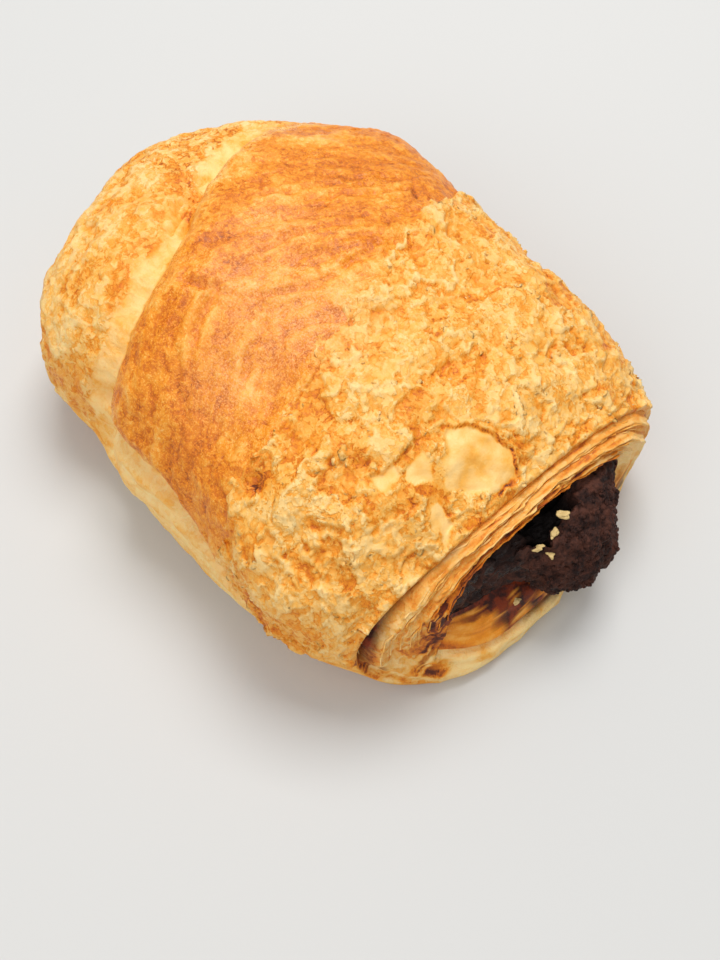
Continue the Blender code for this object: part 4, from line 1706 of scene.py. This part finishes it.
class PASTRY_OT_chocolate(Operator):
    """Build the chocolate that runs through the roll and bulges from its mouth"""

    bl_idname = "pastry.chocolate"
    bl_label = "Chocolate"

    def execute(self, context):
        grid, gloss, lobe, hollow = filling_grid()
        rows, columns = grid.shape[:2]
        faces = quads(rows, columns, False, True)
        share = lobe * smooth_step((grid[..., 0] - 51.5) / 1.5)
        share[-CRUMBLY_END_RINGS:] = 0.4
        attributes = {"gloss": gloss, "share": share * (1 - hollow), "hollow": hollow}
        material = chocolate_material(context.scene.pastry_colours)
        piece = piece_from("chocolate_bulge", grid, faces, attributes, material)
        mesh = bmesh.new()
        mesh.from_mesh(piece.data)
        open_edges = [edge for edge in mesh.edges if edge.is_boundary]
        bmesh.ops.holes_fill(mesh, edges=open_edges, sides=0)
        bmesh.ops.recalc_face_normals(mesh, faces=mesh.faces)
        mesh.to_mesh(piece.data)
        mesh.free()
        piece.data.shade_smooth()
        dress(piece, "chocolate_filling")
        return {"FINISHED"}


def surface_points(name):
    """The corners of a finished piece, in the roll's own frame."""
    data = bpy.data.objects[name].data
    places = np.empty(len(data.vertices) * 3)
    data.vertices.foreach_get("co", places)
    return places.reshape(-1, 3) / MM + FOOTPRINT_MIDDLE


class PASTRY_OT_chocolate_crumbs(Operator):
    """Scatter dark crumbs over the bulging chocolate"""

    bl_idname = "pastry.chocolate_crumbs"
    bl_label = "Chocolate crumbs"

    def execute(self, context):
        sizes = context.scene.pastry_flakes
        base = bpy.data.objects["chocolate_bulge"].data
        shapes = shape_collection("crumb_shapes", crumb_shape, 5)
        piece = grown("chocolate_crumbs", base, scatter_tree(), {
            "Pieces": shapes,
            "Per square metre": sizes.crumb_density,
            "Seed": sizes.seed + 1,
            "Smallest": 0.25,
            "Largest": 0.85,
            "Tilt": 0.6,
            "Sink": 0.05 * MM,
            "Palest": 0.0,
            "Darkest": 0.3,
            "Material": bpy.data.objects["chocolate_bulge"].data.materials[0],
        })
        discard(shapes)
        add_constants(piece, {"gloss": 0.0, "hollow": 0.0})
        dress(piece, "chocolate_filling")
        return {"FINISHED"}


class PASTRY_OT_pale_crumbs(Operator):
    """Lay the few pale crumbs of dough on the chocolate and on the lower lip"""

    bl_idname = "pastry.pale_crumbs"
    bl_label = "Pale crumbs"

    def execute(self, context):
        tops = np.concatenate([surface_points("chocolate_bulge"), surface_points("dough_skin")])
        mesh = bmesh.new()
        for k, crumb in enumerate(PALE_CRUMBS):
            near = tops[np.hypot(tops[:, 0] - crumb.x, tops[:, 1] - crumb.y) < 0.5]
            highest = near[near[:, 2].argmax()]
            made = bmesh.ops.create_icosphere(mesh, subdivisions=3, radius=0.5)["verts"]
            turn = math.radians(crumb.turn)
            for vert in made:
                rough = 1 + 0.75 * noise.noise(vert.co * 2.6 + Vector((k * 5.1, 0, 0)))
                x, y, z = vert.co * rough * crumb.size
                x, y, z = x, 0.62 * y, 0.34 * z + 0.15 * crumb.size * math.sin(2.5 * x)
                x, y = x * math.cos(turn) - y * math.sin(turn), x * math.sin(turn) + y * math.cos(turn)
                vert.co = (Vector((x, y, z + 0.15)) + Vector(highest - FOOTPRINT_MIDDLE)) * MM
        data = finished("pale_crumbs", mesh)
        data.shade_smooth()
        data.materials.append(plain_crumb_material(context.scene.pastry_colours))
        dress(added("pale_crumbs", data), "pastry")
        return {"FINISHED"}


class PASTRY_OT_stage(Operator):
    """Lay the pale floor and set the light and the camera"""

    bl_idname = "pastry.stage"
    bl_label = "Floor, light and camera"

    def execute(self, context):
        scene = context.scene
        mesh = bmesh.new()
        bmesh.ops.create_grid(mesh, x_segments=1, y_segments=1, size=FLOOR_HALF_WIDTH)
        data = finished("floor", mesh)
        floor = added("floor", data)
        material, _, shader = new_material("floor_finish")
        shader.inputs["Base Color"].default_value = FLOOR_TONE
        shader.inputs["Roughness"].default_value = 0.8
        data.materials.append(material)
        world = bpy.data.worlds.new("soft_room")
        world.use_nodes = True
        background = world.node_tree.nodes["Background"]
        background.inputs["Color"].default_value = ROOM_TONE
        background.inputs["Strength"].default_value = ROOM_STRENGTH
        scene.world = world
        for light in LIGHTS:
            self.light(light)
        self.camera(scene)
        scene.view_settings.view_transform = "Standard"
        scene.view_settings.look = "None"
        return {"FINISHED"}

    def light(self, light):
        """A soft square light that faces the pastry."""
        data = bpy.data.lights.new(light.name, "AREA")
        data.size = light.size
        data.energy = light.power
        made = added(light.name, data)
        made.location = light.place
        made.rotation_mode = "QUATERNION"
        made.rotation_quaternion = (-Vector(light.place)).to_track_quat("-Z", "Y")

    def camera(self, scene):
        """A camera at the photograph's viewpoint."""
        data = bpy.data.cameras.new("photograph")
        data.sensor_width = 36
        data.lens = VIEW_LENS
        data.clip_start = 0.005
        made = added("photograph", data)
        made.location = (VIEW_PLACE - FOOTPRINT_MIDDLE) * MM
        azimuth, elevation = math.radians(VIEW_AZIMUTH), math.radians(VIEW_ELEVATION)
        back = Vector((
            math.sin(azimuth) * math.cos(elevation),
            -math.cos(azimuth) * math.cos(elevation),
            math.sin(elevation),
        ))
        made.rotation_mode = "QUATERNION"
        made.rotation_quaternion = (-back).to_track_quat("-Z", "Y")
        scene.camera = made


STEPS = (
    PASTRY_OT_stage,
    PASTRY_OT_skin,
    PASTRY_OT_flaky_crust,
    PASTRY_OT_loose_flakes,
    PASTRY_OT_cut_layers,
    PASTRY_OT_chocolate,
    PASTRY_OT_chocolate_crumbs,
    PASTRY_OT_pale_crumbs,
)


class PASTRY_PT_panel(Panel):
    """Sidebar panel with the pastry's steps, colours and sizes"""

    bl_idname = "PASTRY_PT_panel"
    bl_label = "Pain au chocolat"
    bl_space_type = "VIEW_3D"
    bl_region_type = "UI"
    bl_category = "Pastry"

    def draw(self, context):
        for step in STEPS:
            self.layout.operator(step.bl_idname)
        for group in (context.scene.pastry_colours, context.scene.pastry_flakes):
            box = self.layout.box()
            for name in group.bl_rna.properties.keys():
                if name not in {"rna_type", "name"}:
                    box.prop(group, name)


CLASSES = (PastryColours, PastryFlakes, *STEPS, PASTRY_PT_panel)


def register():
    for made in CLASSES:
        bpy.utils.register_class(made)
    bpy.types.Scene.pastry_colours = PointerProperty(type=PastryColours)
    bpy.types.Scene.pastry_flakes = PointerProperty(type=PastryFlakes)


def unregister():
    del bpy.types.Scene.pastry_flakes
    del bpy.types.Scene.pastry_colours
    for made in reversed(CLASSES):
        bpy.utils.unregister_class(made)


def main():
    """Runs every step in order."""
    register()
    for step in STEPS:
        group, name = step.bl_idname.split(".")
        getattr(getattr(bpy.ops, group), name)()


if __name__ == "__main__":
    main()
